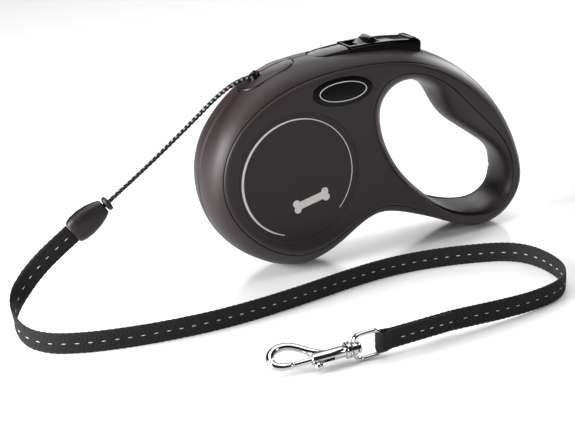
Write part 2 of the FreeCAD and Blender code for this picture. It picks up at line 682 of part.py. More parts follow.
def sewn_end():
    """The tape's doubled end, sewn round the bar of the swivel eye."""
    run = TAPE_END_START - EYE_BAR
    turn = Rotation(Vector(0, 0, 1), math.degrees(math.atan2(run.y, run.x)))
    low = EYE_BAR - Vector(0, 0, 0.5 * size("tape_end_width"))
    thick = 2 * size("tape_thick")
    slab = box("sewn_slab", low + turn.multVec(Vector(2.2, -0.5 * thick, 0)),
               (run.Length - 2.2, thick, size("tape_end_width")), turn)
    bar_low = EYE_BAR - EYE_UP * (0.5 * size("tape_end_width"))
    bend = cylinder("sewn_bend", 3.3, "Sizes.tape_end_width", bar_low, EYE_FRAME.Rotation)
    room = cylinder("sewn_room", 1.9, 20, EYE_BAR - EYE_UP * 10, EYE_FRAME.Rotation)
    return cut("sewn_cut", fuse("sewn_blank", [slab, bend]), room)


node("tape_end", sewn_end())

# ---------------------------------------------------------------- swivel eye and bolt snap
ALONG_X = Rotation(Vector(0, 1, 0), 90)


def turned_piece(name, frame, steps):
    """Coaxial cylinders along the frame's X axis: start, end and radius of each."""
    rods = []
    for start, end, radius in steps:
        rod = cylinder(f"{name}_step", radius, end - start, (0, 0, 0))
        rod.Placement = frame * Placement(Vector(start, 0, 0), ALONG_X)
        rods.append(rod)
    return rods


def framed(thing, frame):
    thing.Placement = frame * thing.Placement
    return thing


def eye_ring():
    half, base, corner = 5.3, 11.3, 2.6
    points = [(corner, half), (base - corner, half), (base, half - corner), (base, corner - half),
              (base - corner, -half), (corner, -half), (0, corner - half), (0, half - corner)]
    bend = corner * (1 - math.sqrt(0.5))
    middles = {1: (base - bend, half - bend), 3: (base - bend, bend - half),
               5: (bend, bend - half), 7: (bend, half - bend)}
    edges = []
    for index, (x, z) in enumerate(points):
        start = Vector(x, 0, z)
        end = Vector(points[(index + 1) % 8][0], 0, points[(index + 1) % 8][1])
        if index in middles:
            middle = Vector(middles[index][0], 0, middles[index][1])
            edges.append(Part.Arc(start, middle, end).toShape())
        else:
            edges.append(Part.LineSegment(start, end).toShape())
    ring = tube("eye_ring", Part.Wire(edges), size("eye_wire"))
    return framed(ring, EYE_FRAME)


eye_seat = turned_piece("eye_seat", EYE_FRAME, [(10.2, 12.4, 2.7)])
eye_hole = turned_piece("eye_hole", EYE_FRAME, [(9.0, 14.0, 1.56)])
node("swivel_eye", cut("eye_cut", fuse("eye_blank", [eye_ring()] + eye_seat), eye_hole[0]))

BOW_ROUTE = ((26.4, 0, 3.0), (30.6, 0, 6.0), (34.6, 0, 9.2), (39.6, 0, 10.0), (43.6, 0, 7.6),
             (44.5, 0, 3.8), (42.2, 0, 0.9), (38.9, 0, 0.2), (36.2, 0, 0.1))
bow_wire, bow_radii = rounded_wire(BOW_ROUTE)
bow = framed(tube("hook_bow", bow_wire, size("hook_wire")), HOOK_FRAME)
hook_steps = turned_piece("hook_core", HOOK_FRAME, [
    (8.4, 9.9, 2.3), (9.8, 12.8, 1.5), (12.7, 15.4, 3.4), (15.3, 29.0, "Sizes.barrel_radius")])
hook_bore = turned_piece("hook_bore", HOOK_FRAME, [(15.8, 36.1, 1.2)])
knob_slot = framed(box("knob_slot", (20.2, -0.95, -4.0), (8.2, 1.9, 4.0)), HOOK_FRAME)
hook_blank = fuse("hook_blank", hook_steps + [bow])
node("hook_body", cut("hook_cut", hook_blank, fuse("hook_tools", hook_bore + [knob_slot])))

bolt_rod = turned_piece("bolt_rod", HOOK_FRAME, [(23.6, 35.9, "Sizes.bolt_radius")])
bolt_stem = framed(cylinder("bolt_stem", 0.75, 3.4, (27.3, 0, -3.6), Rotation()), HOOK_FRAME)
knob_ball = doc.addObject("Part::Sphere", "knob_ball")
knob_ball.Radius = 1.7
framed(at(knob_ball, (27.3, 0, -4.1)), HOOK_FRAME)
node("bolt_latch", fuse("bolt_solid", bolt_rod + [bolt_stem, knob_ball]))
node("bolt_spring", coil("bolt_coil", 0.82, 0.26, 1.4, 7.0,
                         HOOK_FRAME * Placement(Vector(16.1, 0, 0), ALONG_X), flats=4))

# ---------------------------------------------------------------- check and write
doc.recompute()
for thing in doc.Objects:
    if "Invalid" in thing.State or "Error" in thing.State:
        raise RuntimeError(f"{thing.Name} failed: {thing.State} {thing.getStatusString()}")
os.makedirs("parts", exist_ok=True)
for name, thing in NODES.items():
    shape = thing.Shape
    if shape.isNull() or not shape.isValid():
        raise RuntimeError(f"{name} has no valid shape")
    limits = shape.BoundBox
    print(f"{name}: {len(shape.Solids)} solid, volume {shape.Volume:.1f}, x {limits.XMin:.1f} {limits.XMax:.1f}"
          f" y {limits.YMin:.1f} {limits.YMax:.1f} z {limits.ZMin:.1f} {limits.ZMax:.1f}")
    shape.exportStep(f"parts/{name}.step")
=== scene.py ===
import math

import bmesh
import bpy
import numpy as np
from bpy.props import FloatProperty, FloatVectorProperty, IntProperty, PointerProperty
from mathutils import Matrix, Vector
from mathutils.bvhtree import BVHTree


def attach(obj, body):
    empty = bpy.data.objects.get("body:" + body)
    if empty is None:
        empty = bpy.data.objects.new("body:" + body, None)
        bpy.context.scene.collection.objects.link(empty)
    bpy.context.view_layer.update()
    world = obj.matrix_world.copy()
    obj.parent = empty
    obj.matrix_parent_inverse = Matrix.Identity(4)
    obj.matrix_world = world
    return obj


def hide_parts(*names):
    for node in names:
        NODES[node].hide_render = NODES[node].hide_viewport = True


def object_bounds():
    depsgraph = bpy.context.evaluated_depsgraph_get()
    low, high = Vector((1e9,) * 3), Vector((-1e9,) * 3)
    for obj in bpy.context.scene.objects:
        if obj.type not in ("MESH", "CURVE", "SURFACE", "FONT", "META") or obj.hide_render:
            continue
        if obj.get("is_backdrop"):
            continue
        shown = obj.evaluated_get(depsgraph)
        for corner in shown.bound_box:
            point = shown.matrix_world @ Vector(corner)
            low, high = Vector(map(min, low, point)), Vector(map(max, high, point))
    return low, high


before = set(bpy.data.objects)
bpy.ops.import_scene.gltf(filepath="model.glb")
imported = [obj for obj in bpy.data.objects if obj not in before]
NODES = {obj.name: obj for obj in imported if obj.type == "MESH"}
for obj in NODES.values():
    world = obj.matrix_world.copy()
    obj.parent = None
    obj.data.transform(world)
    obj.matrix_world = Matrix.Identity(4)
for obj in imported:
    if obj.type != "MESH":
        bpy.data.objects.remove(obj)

bl_info = {
    "name": "Retractable Cord Leash",
    "version": (1, 0, 0),
    "blender": (4, 5, 0),
    "location": "3D View > Sidebar > Leash",
    "description": "Builds the visible pieces of a retractable cord leash on its packed frame",
    "category": "Add Mesh",
}

CAD_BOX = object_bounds()
MM = 0.001
MERGE = 1e-6            # vertices closer than this are one, metres
TAU = 2 * math.pi

# ------------------------------------------------------------------ routes and outlines, millimetres
CORD_ROUTE = (
    (-50.0, 0.0, 87.2), (-55.2, 0.0, 90.6), (-63.6, -0.3, 88.6), (-72.5, -1.3, 84.2),
    (-84.0, -3.2, 76.4), (-102.5, -6.0, 64.2), (-117.5, -8.6, 55.2), (-129.2, -10.0, 48.0),
)
TAPE_ROUTE = (
    (-143.6, -10.0, 39.0), (-151.0, -10.0, 34.0), (-158.6, -9.8, 28.2), (-165.0, -9.8, 22.0),
    (-170.6, -11.4, 15.4), (-174.0, -17.2, 9.6), (-172.4, -27.0, 5.8), (-166.0, -35.4, 4.7),
    (-156.0, -41.1, 4.6), (-140.2, -45.8, 4.6), (-118.0, -49.3, 4.6), (-92.0, -50.2, 4.6),
    (-62.0, -46.5, 4.6), (-32.0, -40.4, 4.6), (-8.0, -37.7, 4.6), (14.0, -39.9, 4.6),
    (34.0, -45.2, 4.6), (46.5, -51.0, 4.6), (52.4, -59.8, 4.6), (53.6, -72.1, 4.6),
    (51.2, -85.2, 4.6), (42.0, -95.0, 4.6), (26.6, -99.5, 4.7), (8.4, -101.0, 5.2),
    (-6.3, -101.8, 6.2), (-18.4, -102.6, 7.0),
)
COUPLING_TOP = Vector((-129.2, -10.0, 48.0))
COUPLING_END = Vector((-143.6, -10.0, 39.0))
EYE_BAR = Vector((-51.3, -104.5, 7.0))
HOOK_AXIS = Vector((-0.990, 0.114, -0.085)).normalized()
HOOK_TILT = Vector((0.10, 0.90, 0.43))
TAPE_END_START = Vector((-18.4, -102.6, 7.0))

# Housing, side view: outer edge at the parting plane with the flank groove inside it.
RIM = (
    ((-38.5, 0.2), (-40.0, 8.8)), ((-57.9, 6.2), (-54.5, 13.4)), ((-75.2, 21.3), (-69.1, 26.0)),
    ((-82.6, 42.3), (-77.0, 43.4)), ((-80.0, 61.6), (-75.0, 60.2)), ((-69.9, 77.3), (-66.6, 72.6)),
    ((-51.5, 91.0), (-48.9, 84.2)), ((-27.5, 96.1), (-26.8, 90.1)), ((-0.5, 95.6), (-0.9, 90.8)),
    ((21.8, 92.8), (19.3, 87.2)), ((46.3, 81.4), (41.9, 76.2)), ((67.8, 60.6), (62.9, 57.0)),
    ((80.2, 37.0), (75.4, 35.4)), ((82.6, 17.6), (78.0, 18.0)), ((73.3, 4.1), (70.7, 8.0)),
    ((56.0, 0.2), (55.7, 4.6)), ((36.5, 7.0), (37.5, 11.0)), ((17.4, 14.4), (18.7, 20.2)),
    ((1.2, 16.9), (1.7, 24.4)), ((-18.3, 6.3), (-21.7, 14.0)),
)
# Hand opening: edge at the parting plane with its groove on the flank.
HAND = (
    ((54.0, 10.4), (54.8, 8.2)), ((37.5, 14.9), (36.0, 13.8)), ((26.2, 24.0), (21.9, 22.9)),
    ((14.9, 36.2), (10.2, 34.8)), ((7.4, 49.6), (1.0, 48.8)), ((4.4, 61.8), (-3.2, 61.8)),
    ((5.3, 69.9), (-2.8, 73.6)), ((11.1, 76.4), (3.8, 82.4)), ((20.0, 78.5), (17.5, 85.0)),
    ((26.0, 76.4), (28.5, 81.6)), ((32.6, 71.6), (36.0, 77.4)), ((36.5, 64.2), (43.5, 72.2)),
    ((40.4, 58.0), (50.0, 66.8)), ((47.6, 51.8), (56.5, 60.4)), ((60.6, 42.4), (66.0, 50.0)),
    ((68.8, 34.5), (73.0, 38.6)), ((72.2, 25.3), (75.6, 27.0)), ((70.2, 15.8), (73.4, 15.4)),
    ((63.9, 11.2), (66.2, 9.4)),
)
# Where along the hand opening each point of the rim looks to, from the rim's point 0.
HAND_FOR_RIM = (3.5, 3.8, 4.1, 4.5, 5.0, 5.5, 6.1, 6.8, 7.5, 8.5, 10.5, 13.4, 15.4, 16.7, 17.9,
                19.0, 20.0, 21.2, 21.8, 22.2, 22.5)
SCREW_PLACES = ((-36.5, 86.2), (-8.0, 22.0), (22.5, 19.8), (54.0, 63.8), (76.8, 24.0))
HALF = 16.3             # half width of the drum belly
TAPER = 0.1051          # slope of each flank along the handle: 6 degrees
TAPER_START = 24.0
FLANKS = (("left", -1), ("right", 1))
DRUM = Vector((-42.0, 0.0, 46.0))


# ------------------------------------------------------------------ settings
class LeashHousing(bpy.types.PropertyGroup):
    colour: FloatVectorProperty(name="Colour", description="Moulded plastic of the housing", subtype="COLOR",
                                size=3, default=(0.0185, 0.0115, 0.0125))
    gloss_colour: FloatVectorProperty(name="Gloss colour", description="Polished plastic of button and badge",
                                      subtype="COLOR", size=3, default=(0.0016, 0.0013, 0.0015))
    around: IntProperty(name="Steps around", description="Mesh steps around the rim", default=420, min=60)
    wall: FloatProperty(name="Wall", description="Thickness of the moulded wall", unit="LENGTH",
                        default=1.2 * MM)


class LeashTape(bpy.types.PropertyGroup):
    width: FloatProperty(name="Width", description="Width of the tape", unit="LENGTH", default=9.2 * MM)
    thick: FloatProperty(name="Thickness", description="Thickness of the tape", unit="LENGTH",
                         default=1.4 * MM)
    rib: FloatProperty(name="Rib pitch", description="Distance between weft ribs", unit="LENGTH",
                       default=0.88 * MM)
    stitch_pitch: FloatProperty(name="Stitch pitch", description="Distance between stitches", unit="LENGTH",
                                default=5.3 * MM)
    colour: FloatVectorProperty(name="Colour", description="Yarn of the tape", subtype="COLOR", size=3,
                                default=(0.0050, 0.0042, 0.0043))
    thread: FloatVectorProperty(name="Thread", description="Light sewing thread", subtype="COLOR", size=3,
                                default=(0.78, 0.77, 0.76))


class LeashCord(bpy.types.PropertyGroup):
    radius: FloatProperty(name="Radius", description="Radius of the cord", unit="LENGTH", default=1.0 * MM)
    lay: FloatProperty(name="Lay", description="Length of one turn of the strands", unit="LENGTH",
                       default=7.0 * MM)
    colour: FloatVectorProperty(name="Colour", description="Yarn of the cord", subtype="COLOR", size=3,
                                default=(0.008, 0.008, 0.008))


class LeashSnap(bpy.types.PropertyGroup):
    colour: FloatVectorProperty(name="Colour", description="Bright plating of the snap", subtype="COLOR",
                                size=3, default=(0.52, 0.52, 0.53))


SETTINGS = {"leash_housing": LeashHousing, "leash_tape": LeashTape, "leash_cord": LeashCord,
            "leash_snap": LeashSnap}


def settings(name):
    """The scene's property group of that name."""
    return getattr(bpy.context.scene, name)


# ------------------------------------------------------------------ shader maths and materials
class Wire:
    """A shader socket that takes part in Python expressions."""

    def __init__(self, tree, socket):
        self.tree, self.socket = tree, socket

    def maths(self, operation, *others):
        node = self.tree.nodes.new("ShaderNodeMath")
        node.operation = operation
        for slot, value in zip(node.inputs, others):
            feed(self.tree, slot, value)
        return Wire(self.tree, node.outputs[0])

    def __add__(self, other):
        return self.maths("ADD", self, other)

    def __radd__(self, other):
        return self.maths("ADD", other, self)

    def __sub__(self, other):
        return self.maths("SUBTRACT", self, other)

    def __rsub__(self, other):
        return self.maths("SUBTRACT", other, self)

    def __mul__(self, other):
        return self.maths("MULTIPLY", self, other)

    def __rmul__(self, other):
        return self.maths("MULTIPLY", other, self)

    def sine(self):
        return self.maths("SINE", self)

    def above(self, limit):
        return self.maths("GREATER_THAN", self, limit)


def feed(tree, slot, value):
    """Link a wire to a socket, or set the socket's own value."""
    if isinstance(value, Wire):
        tree.links.new(value.socket, slot)
    elif isinstance(value, (tuple, list)) and len(value) == 3 and slot.type == "RGBA":
        slot.default_value = (*value, 1.0)
    else:
        slot.default_value = value


class Finish:
    """A material round one Principled shader."""

    def __init__(self, name, **constants):
        self.material = bpy.data.materials.new(name)
        self.material.use_nodes = True
        self.tree = self.material.node_tree
        self.shader = self.tree.nodes["Principled BSDF"]
        self.set(**constants)

    def set(self, **values):
        for name, value in values.items():
            feed(self.tree, self.shader.inputs[name.replace("_", " ")], value)
        return self

    def node(self, kind, output=0, options=None, **values):
        node = self.tree.nodes.new(kind)
        for name, value in (options or {}).items():
            setattr(node, name, value)
        for name, value in values.items():
            index = int(name[1:]) if name[1:].isdigit() else name.replace("_", " ")
            feed(self.tree, node.inputs[index], value)
        return Wire(self.tree, node.outputs[output])

    def noise(self, scale, detail=3.0):
        where = self.node("ShaderNodeTexCoord", "Object")
        return self.node("ShaderNodeTexNoise", "Fac", Vector=where, Scale=scale, Detail=detail)

    def lengthwise(self):
        """The piece's own distance along it and across it."""
        uv = self.node("ShaderNodeUVMap", "UV", {"uv_map": "UVMap"})
        return (self.node("ShaderNodeSeparateXYZ", "X", Vector=uv),
                self.node("ShaderNodeSeparateXYZ", "Y", Vector=uv))

    def blend(self, factor, first, second):
        return self.node("ShaderNodeMix", 2, {"data_type": "RGBA"}, _0=factor, _6=first, _7=second)

    def bump(self, height, distance, strength):
        self.set(Normal=self.node("ShaderNodeBump", Height=height, Distance=distance, Strength=strength))
        return self


def shade(colour, factor):
    """Lighter or darker colour."""
    return tuple(min(1.0, c * factor) for c in colour)


def moulded(name, colour, roughness, grain=2600.0, depth=0.00004):
    """Injection-moulded plastic with a spark-eroded grain and faint handling marks."""
    finish = Finish(name, IOR=1.5, Specular_IOR_Level=0.38)
    grain_height = finish.noise(grain, 4.0)
    cloud = finish.noise(38.0, 3.0)
    marks = finish.noise(420.0, 6.0)
    finish.set(Base_Color=finish.blend(cloud, shade(colour, 0.86), shade(colour, 1.16)),
               Roughness=roughness + (cloud - 0.5) * 0.10 + (marks - 0.5) * 0.08)
    return finish.bump(grain_height + marks * 0.4, depth, 0.5).material


def polished(name, colour, roughness=0.12):
    """Polished plastic with fine wipe marks."""
    finish = Finish(name, IOR=1.5, Specular_IOR_Level=0.11)
    where = finish.node("ShaderNodeTexCoord", "Object")
    stretched = finish.node("ShaderNodeMapping", Vector=where, Scale=(300.0, 900.0, 2400.0))
    wipe = finish.node("ShaderNodeTexNoise", "Fac", Vector=stretched, Scale=1.0, Detail=5.0)
    cloud = finish.noise(90.0)
    finish.set(Base_Color=finish.blend(cloud, shade(colour, 0.8), shade(colour, 1.3)),
               Roughness=roughness + (wipe - 0.5) * 0.08)
    return finish.bump(wipe, 0.000004, 0.4).material


def metal(name, colour, roughness, grain=700.0, cast=0.00002, metallic=1.0):
    """Plated or printed metal: slight waviness below the plating, and dulling in places."""
    finish = Finish(name, Metallic=metallic)
    wave = finish.noise(grain, 2.0)
    film = finish.noise(160.0, 5.0)
    finish.set(Base_Color=finish.blend(film, shade(colour, 0.82), shade(colour, 1.08)),
               Roughness=roughness + film * 0.09)
    return finish.bump(wave, cast, 0.35).material


def woven(name, colour, rib):
    """Woven nylon: yarn cells from the tape's own lengthwise and crosswise coordinates, in metres, with
    painted highlight on the yarn crowns and painted shade between them.
    """
    finish = Finish(name, Sheen_Weight=0.03, Sheen_Roughness=0.4, Specular_IOR_Level=0.30)
    along, across = finish.lengthwise()
    warp = (across * (TAU / (0.62 * MM)) + (along * (TAU / (2 * rib))).sine() * 1.2).sine()
    weft = (along * (TAU / rib)).sine()
    cell = (warp * weft + 1.0) * 0.5
    fuzz = finish.noise(5200.0, 4.0)
    patch = finish.noise(150.0, 3.0)
    # Painted highlight on the weave cells' yarn crowns and painted shade between them, mixed with random fuzz
    # of the yarn.
    tone = cell * 0.65 + fuzz * 0.35
    weave_shading_and_fuzz = finish.blend(tone, shade(colour, 0.2), shade(colour, 3.2))
    finish.set(Base_Color=finish.blend(patch * 0.35, weave_shading_and_fuzz, shade(colour, 1.8)),
               Roughness=0.62 + tone * 0.22)
    return finish.bump(cell + fuzz * 0.5, 0.00016, 0.9).material


def threaded(name, colour):
    """Twisted sewing thread."""
    finish = Finish(name, Sheen_Weight=0.3, Specular_IOR_Level=0.3)
    twist = finish.noise(6000.0, 2.0)
    finish.set(Base_Color=finish.blend(twist, shade(colour, 0.62), colour), Roughness=0.6 + twist * 0.25)
    return finish.bump(twist, 0.00008, 0.6).material


def braided(name, colour, turn):
    """Twisted cord yarn: filaments run along each strand, with a painted light grey highlight on their
    crowns.
    """
    finish = Finish(name, Specular_IOR_Level=0.3)
    along, across = finish.lengthwise()
    filament = (across * (TAU * 9) + along * (TAU / (2.4 * MM))).sine() * 0.5 + 0.5
    fuzz = finish.noise(7000.0, 3.0)
    # Painted highlight: light grey where each strand's crown faces out, twice in each turn.
    crown_highlight = (along * (2 * TAU / turn) + math.pi / 2).sine().above(0.78)
    yarn = finish.blend(filament * 0.7 + fuzz * 0.3, shade(colour, 0.3), shade(colour, 1.5))
    finish.set(Base_Color=finish.blend(crown_highlight * (fuzz * 0.4 + 0.6), yarn, (0.46, 0.45, 0.44)),
               Roughness=0.48 + fuzz * 0.25)
    return finish.bump(filament + fuzz * 0.4, 0.00009, 0.8).material


MATERIALS = {}


def make_materials():
    """Every shared finish, from the colours in the settings."""
    housing, tape, cord, snap = (settings(name) for name in SETTINGS)
    body, gloss = tuple(housing.colour), tuple(housing.gloss_colour)
    MATERIALS.update({
        "housing": moulded("leash_housing_plastic", body, 0.46),
        "panel": moulded("leash_label_film", shade(body, 0.86), 0.50, 3400.0, 0.00003),
        "guide": moulded("leash_guide_plastic", shade(body, 0.8), 0.36, 3000.0, 0.00002),
        "coupling": moulded("leash_coupling_plastic", shade(body, 0.62), 0.42, 2400.0, 0.00004),
        "gloss": polished("leash_polished_plastic", gloss),
        "print": metal("leash_silver_print", (0.66, 0.65, 0.64), 0.36, 3000.0, 0.00001, 0.35),
        "drum": moulded("leash_drum_plastic", (0.10, 0.10, 0.11), 0.55),
        "steel": metal("leash_zinc_steel", (0.55, 0.56, 0.58), 0.28),
        "spring": metal("leash_spring_steel", (0.32, 0.34, 0.40), 0.24),
        "chrome": metal("leash_bright_plating", tuple(snap.colour), 0.045, 420.0, 0.00003),
        "tape": woven("leash_woven_tape", tuple(tape.colour), tape.rib),
        "thread": threaded("leash_light_thread", tuple(tape.thread)),
        "cord": braided("leash_twisted_cord", tuple(cord.colour), cord.lay * 1.13),
    })


# ------------------------------------------------------------------ mesh helpers
def piece(name, vertices, faces, material, smooth=True, uvs=None):
    """Mesh object at the origin from points in millimetres."""
    mesh = bpy.data.meshes.new(name)
    mesh.from_pydata([(p[0] * MM, p[1] * MM, p[2] * MM) for p in vertices], [], faces)
    if uvs is not None:
        layer = mesh.uv_layers.new(name="UVMap")
        for loop in mesh.loops:
            layer.data[loop.index].uv = uvs[loop.vertex_index]
    mesh.materials.append(MATERIALS[material])
    for face in mesh.polygons:
        face.use_smooth = smooth
    mesh.update()
    obj = bpy.data.objects.new(name, mesh)
    bpy.context.scene.collection.objects.link(obj)
    return obj


def outward(obj):
    """Merge doubles and turn all faces outwards."""
    work = bmesh.new()
    work.from_mesh(obj.data)
    bmesh.ops.remove_doubles(work, verts=work.verts, dist=MERGE)
    bmesh.ops.recalc_face_normals(work, faces=work.faces)
    work.to_mesh(obj.data)
    work.free()
    return obj


def sharp_by_angle(obj, degrees=38.0):
    """Flat shading breaks at edges sharper than the angle."""
    work = bmesh.new()
    work.from_mesh(obj.data)
    for edge in work.edges:
        edge.smooth = len(edge.link_faces) == 2 and edge.calc_face_angle(0.0) < math.radians(degrees)
    work.to_mesh(obj.data)
    work.free()
    return obj


def loft(name, loops, material, closed_ends=True, closed_loop=False, uvs=None):
    """Skin over equal rings of points; closed_loop joins the last ring to the first."""
    count = len(loops[0])
    points = [p for ring in loops for p in ring]
    faces = []
    pairs = len(loops) if closed_loop else len(loops) - 1
    for i in range(pairs):
        here, there = i * count, ((i + 1) % len(loops)) * count
        for j in range(count):
            k = (j + 1) % count
            faces.append((here + j, here + k, there + k, there + j))
    if closed_ends and not closed_loop:
        faces.append(tuple(reversed(range(count))))
        faces.append(tuple((len(loops) - 1) * count + j for j in range(count)))
    return outward(piece(name, points, faces, material, uvs=uvs))


def lathe(name, profile, origin, axis, material, steps=64, shape=None):
    """Profile of (distance along the axis, radius) turned round the axis, in millimetres."""
    axis = Vector(axis).normalized()
    side = axis.orthogonal().normalized()
    other = axis.cross(side)
    loops = []
    for along, radius in profile:
        ring = []
        for j in range(steps):
            angle = TAU * j / steps
            reach = max(radius, 0.0005) * (shape(angle) if shape else 1.0)
            ring.append(origin + axis * along
                        + (side * math.cos(angle) + other * math.sin(angle)) * reach)
        loops.append(ring)
    return sharp_by_angle(loft(name, loops, material))


def joined(name, parts):
    """One piece of several meshes."""
    work = bmesh.new()
    for part in parts:
        work.from_mesh(part.data)
    mesh = bpy.data.meshes.new(name)
    work.to_mesh(mesh)
    work.free()
    for material in parts[0].data.materials:
        mesh.materials.append(material)
    for part in parts:
        bpy.data.objects.remove(part)
    obj = bpy.data.objects.new(name, mesh)
    bpy.context.scene.collection.objects.link(obj)
    return obj


def settle(obj):
    """Turn live modifiers into plain mesh."""
    graph = bpy.context.evaluated_depsgraph_get()
    mesh = bpy.data.meshes.new_from_object(obj.evaluated_get(graph))
    obj.modifiers.clear()
    obj.data = mesh
    return obj


def carve(obj, cutter, crossing=False):
    """Cut one closed mesh out of another; crossing allows for walls that pass through each other."""
    modifier = obj.modifiers.new("carve", "BOOLEAN")
    modifier.use_self = crossing
    modifier.operation, modifier.solver, modifier.object = "DIFFERENCE", "EXACT", cutter
    settle(obj)
    bpy.data.objects.remove(cutter)
    return obj


def rounded(obj, width, segments=3, angle=35.0):
    """Round the edges of a block."""
    modifier = obj.modifiers.new("round", "BEVEL")
    modifier.width, modifier.segments = width * MM, segments
    modifier.limit_method, modifier.angle_limit = "ANGLE", math.radians(angle)
    modifier.harden_normals = False
    return settle(obj)


def side_profile(name, outline, half, material, bevel=0.3):
    """Side-view outline (x, z) with width across the parting plane."""
    count = len(outline)
    points = [(x, -half, z) for x, z in outline] + [(x, half, z) for x, z in outline]
    faces = [tuple(range(count)), tuple(reversed(range(count, 2 * count)))]
    faces += [(j, (j + 1) % count, count + (j + 1) % count, count + j) for j in range(count)]
    return sharp_by_angle(rounded(outward(piece(name, points, faces, material)), bevel), 50.0)


def smooth_closed(points, samples):
    """Periodic cubic curve through the points, by chord length; parameter counts the points."""
    points = np.array(points, float)
    count = len(points)
    chords = np.linalg.norm(np.roll(points, -1, 0) - points, axis=1)
    system = np.zeros((count, count))
    right = np.zeros_like(points)
    for i in range(count):
        before, after = chords[i - 1], chords[i]
        system[i, i - 1] += after
        system[i, i] += 2 * (before + after)
        system[i, (i + 1) % count] += before
        right[i] = 3 * (after * (points[i] - points[i - 1]) / before
                        + before * (points[(i + 1) % count] - points[i]) / after)
    slopes = np.linalg.solve(system, right)
    out = []
    for value in samples:
        value = value % count
        i = int(value)
        t = value - i
        j = (i + 1) % count
        span = chords[i]
        out.append((2 * t ** 3 - 3 * t ** 2 + 1) * points[i] + (t ** 3 - 2 * t ** 2 + t) * span * slopes[i]
                   + (3 * t ** 2 - 2 * t ** 3) * points[j] + (t ** 3 - t ** 2) * span * slopes[j])
    return np.array(out)


def nurbs_line(name, route):
    """Points along the smooth line that the route's points control, in millimetres."""
    curve = bpy.data.curves.new(name, "CURVE")
    curve.dimensions = "3D"
    spline = curve.splines.new("NURBS")
    spline.points.add(len(route) - 1)
    for point, place in zip(spline.points, route):
        point.co = (place[0] * MM, place[1] * MM, place[2] * MM, 1.0)
    spline.order_u = 3
    spline.use_endpoint_u = True
    spline.resolution_u = 24
    obj = bpy.data.objects.new(name, curve)
    bpy.context.scene.collection.objects.link(obj)
    bpy.context.view_layer.update()
    mesh = bpy.data.meshes.new_from_object(obj.evaluated_get(bpy.context.evaluated_depsgraph_get()))
    line = np.array([v.co[:] for v in mesh.vertices]) / MM
    bpy.data.objects.remove(obj)
    return line


def spaced(line, step):
    """Evenly spaced points on a polyline with their distances and directions."""
    gaps = np.linalg.norm(np.diff(line, axis=0), axis=1)
    run = np.concatenate([[0.0], np.cumsum(gaps)])
    count = max(2, int(round(run[-1] / step)) + 1)
    places = np.linspace(0.0, run[-1], count)
    points = np.stack([np.interp(places, run, line[:, k]) for k in range(3)], 1)
    slopes = np.gradient(points, places, axis=0)
    slopes /= np.linalg.norm(slopes, axis=1)[:, None]
    return places, points, slopes


def carried_frames(slopes, first):
    """Side vectors carried along a line without twisting."""
    side = np.array(first, float)
    out = []
    for slope in slopes:
        side = side - slope * side.dot(slope)
        side /= np.linalg.norm(side)
        out.append(side.copy())
    return np.array(out)


def tube_along(name, line, radii, material, steps=16, first=(0, 0, 1), uv=None):
    """Round tube along points, with a radius at each; uv is the distance that its coordinates start at."""
    slopes = np.gradient(line, axis=0)
    slopes /= np.linalg.norm(slopes, axis=1)[:, None]
    sides = carried_frames(slopes, first)
    loops, uvs = [], []
    run = np.concatenate([[0.0], np.cumsum(np.linalg.norm(np.diff(line, axis=0), axis=1))])
    for centre, slope, side, radius, place in zip(line, slopes, sides, radii, run):
        other = np.cross(slope, side)
        for j in range(steps):
            uvs.append(((place + (uv or 0.0)) * MM, j / steps))
        loops.append([centre + side * (radius * math.cos(TAU * j / steps))
                      + other * (radius * math.sin(TAU * j / steps)) for j in range(steps)])
    return loft(name, loops, material, uvs=None if uv is None else uvs)


def ride(obj, body, *nodes):
    """Let a piece move with a body, and stand for CAD nodes."""
    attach(obj, body)
    if nodes:
        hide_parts(*nodes)
    return obj


# ------------------------------------------------------------------ housing skin
# Rounding of the rim and of the hand opening: share of the way inwards, share of the half width.
RIM_CURVE = ((0.0, 0.0), (0.006, 0.10), (0.03, 0.22), (0.12, 0.42), (0.26, 0.58), (0.42, 0.705),
             (0.62, 0.81), (0.82, 0.89), (1.0, 0.946), (1.10, 0.974), (1.19, 0.992), (1.28, 1.0))
HAND_CURVE = ((0.0, 0.0), (0.03, 0.22), (0.10, 0.40), (0.22, 0.58), (0.36, 0.70), (0.56, 0.82),
              (0.76, 0.90), (0.90, 0.95), (1.0, 0.975), (1.06, 0.992), (1.12, 1.0))
SEAM_DEPTH = 0.42       # groove of the parting line
GROOVE_DEPTH = 0.5      # grooves on the flank
# Across a groove: place in half widths, share of its depth.
GROOVE_SHAPE = ((-1.5, 0.0), (-1.0, 0.06), (-0.55, 0.6), (0.0, 1.0), (0.55, 0.6), (1.0, 0.06), (1.5, 0.0))


def hermite_rows(curve, count):
    """Rows of a rounding, evenly spread along its drawn arc and smooth between its points."""
    pts = np.array(curve)
    chord = np.concatenate([[0.0], np.cumsum(np.hypot(np.diff(pts[:, 0]), np.diff(pts[:, 1]) * 1.3))])
    slopes = np.gradient(pts, chord, axis=0)
    out = []
    for value in np.linspace(0.0, chord[-1], count):
        i = min(int(np.searchsorted(chord, value, side="right")) - 1, len(chord) - 2)
        span = chord[i + 1] - chord[i]
        t = (value - chord[i]) / span
        out.append((2 * t ** 3 - 3 * t ** 2 + 1) * pts[i] + (t ** 3 - 2 * t ** 2 + t) * span * slopes[i]
                   + (3 * t ** 2 - 2 * t ** 3) * pts[i + 1] + (t ** 3 - t ** 2) * span * slopes[i + 1])
    return out


def with_groove(rows, place, half, depth):
    """Add rows at a groove: share inwards, share of height and depth below the skin."""
    shares = np.array([r[0] for r in rows])
    heights = np.array([r[1] for r in rows])
    order = np.argsort(shares)
    out = [(s, h, 0.0) for s, h in rows if abs(s - place) > half * 1.6]
    for step, drop in GROOVE_SHAPE:
        share = place + step * half
        out.append((share, float(np.interp(share, shares[order], heights[order])), drop * depth))
    return sorted(out)


def fade(value, low, high):
    """Smooth step from 0 at low to 1 at high."""
    t = min(1.0, max(0.0, (value - low) / (high - low)))
    return t * t * (3 - 2 * t)


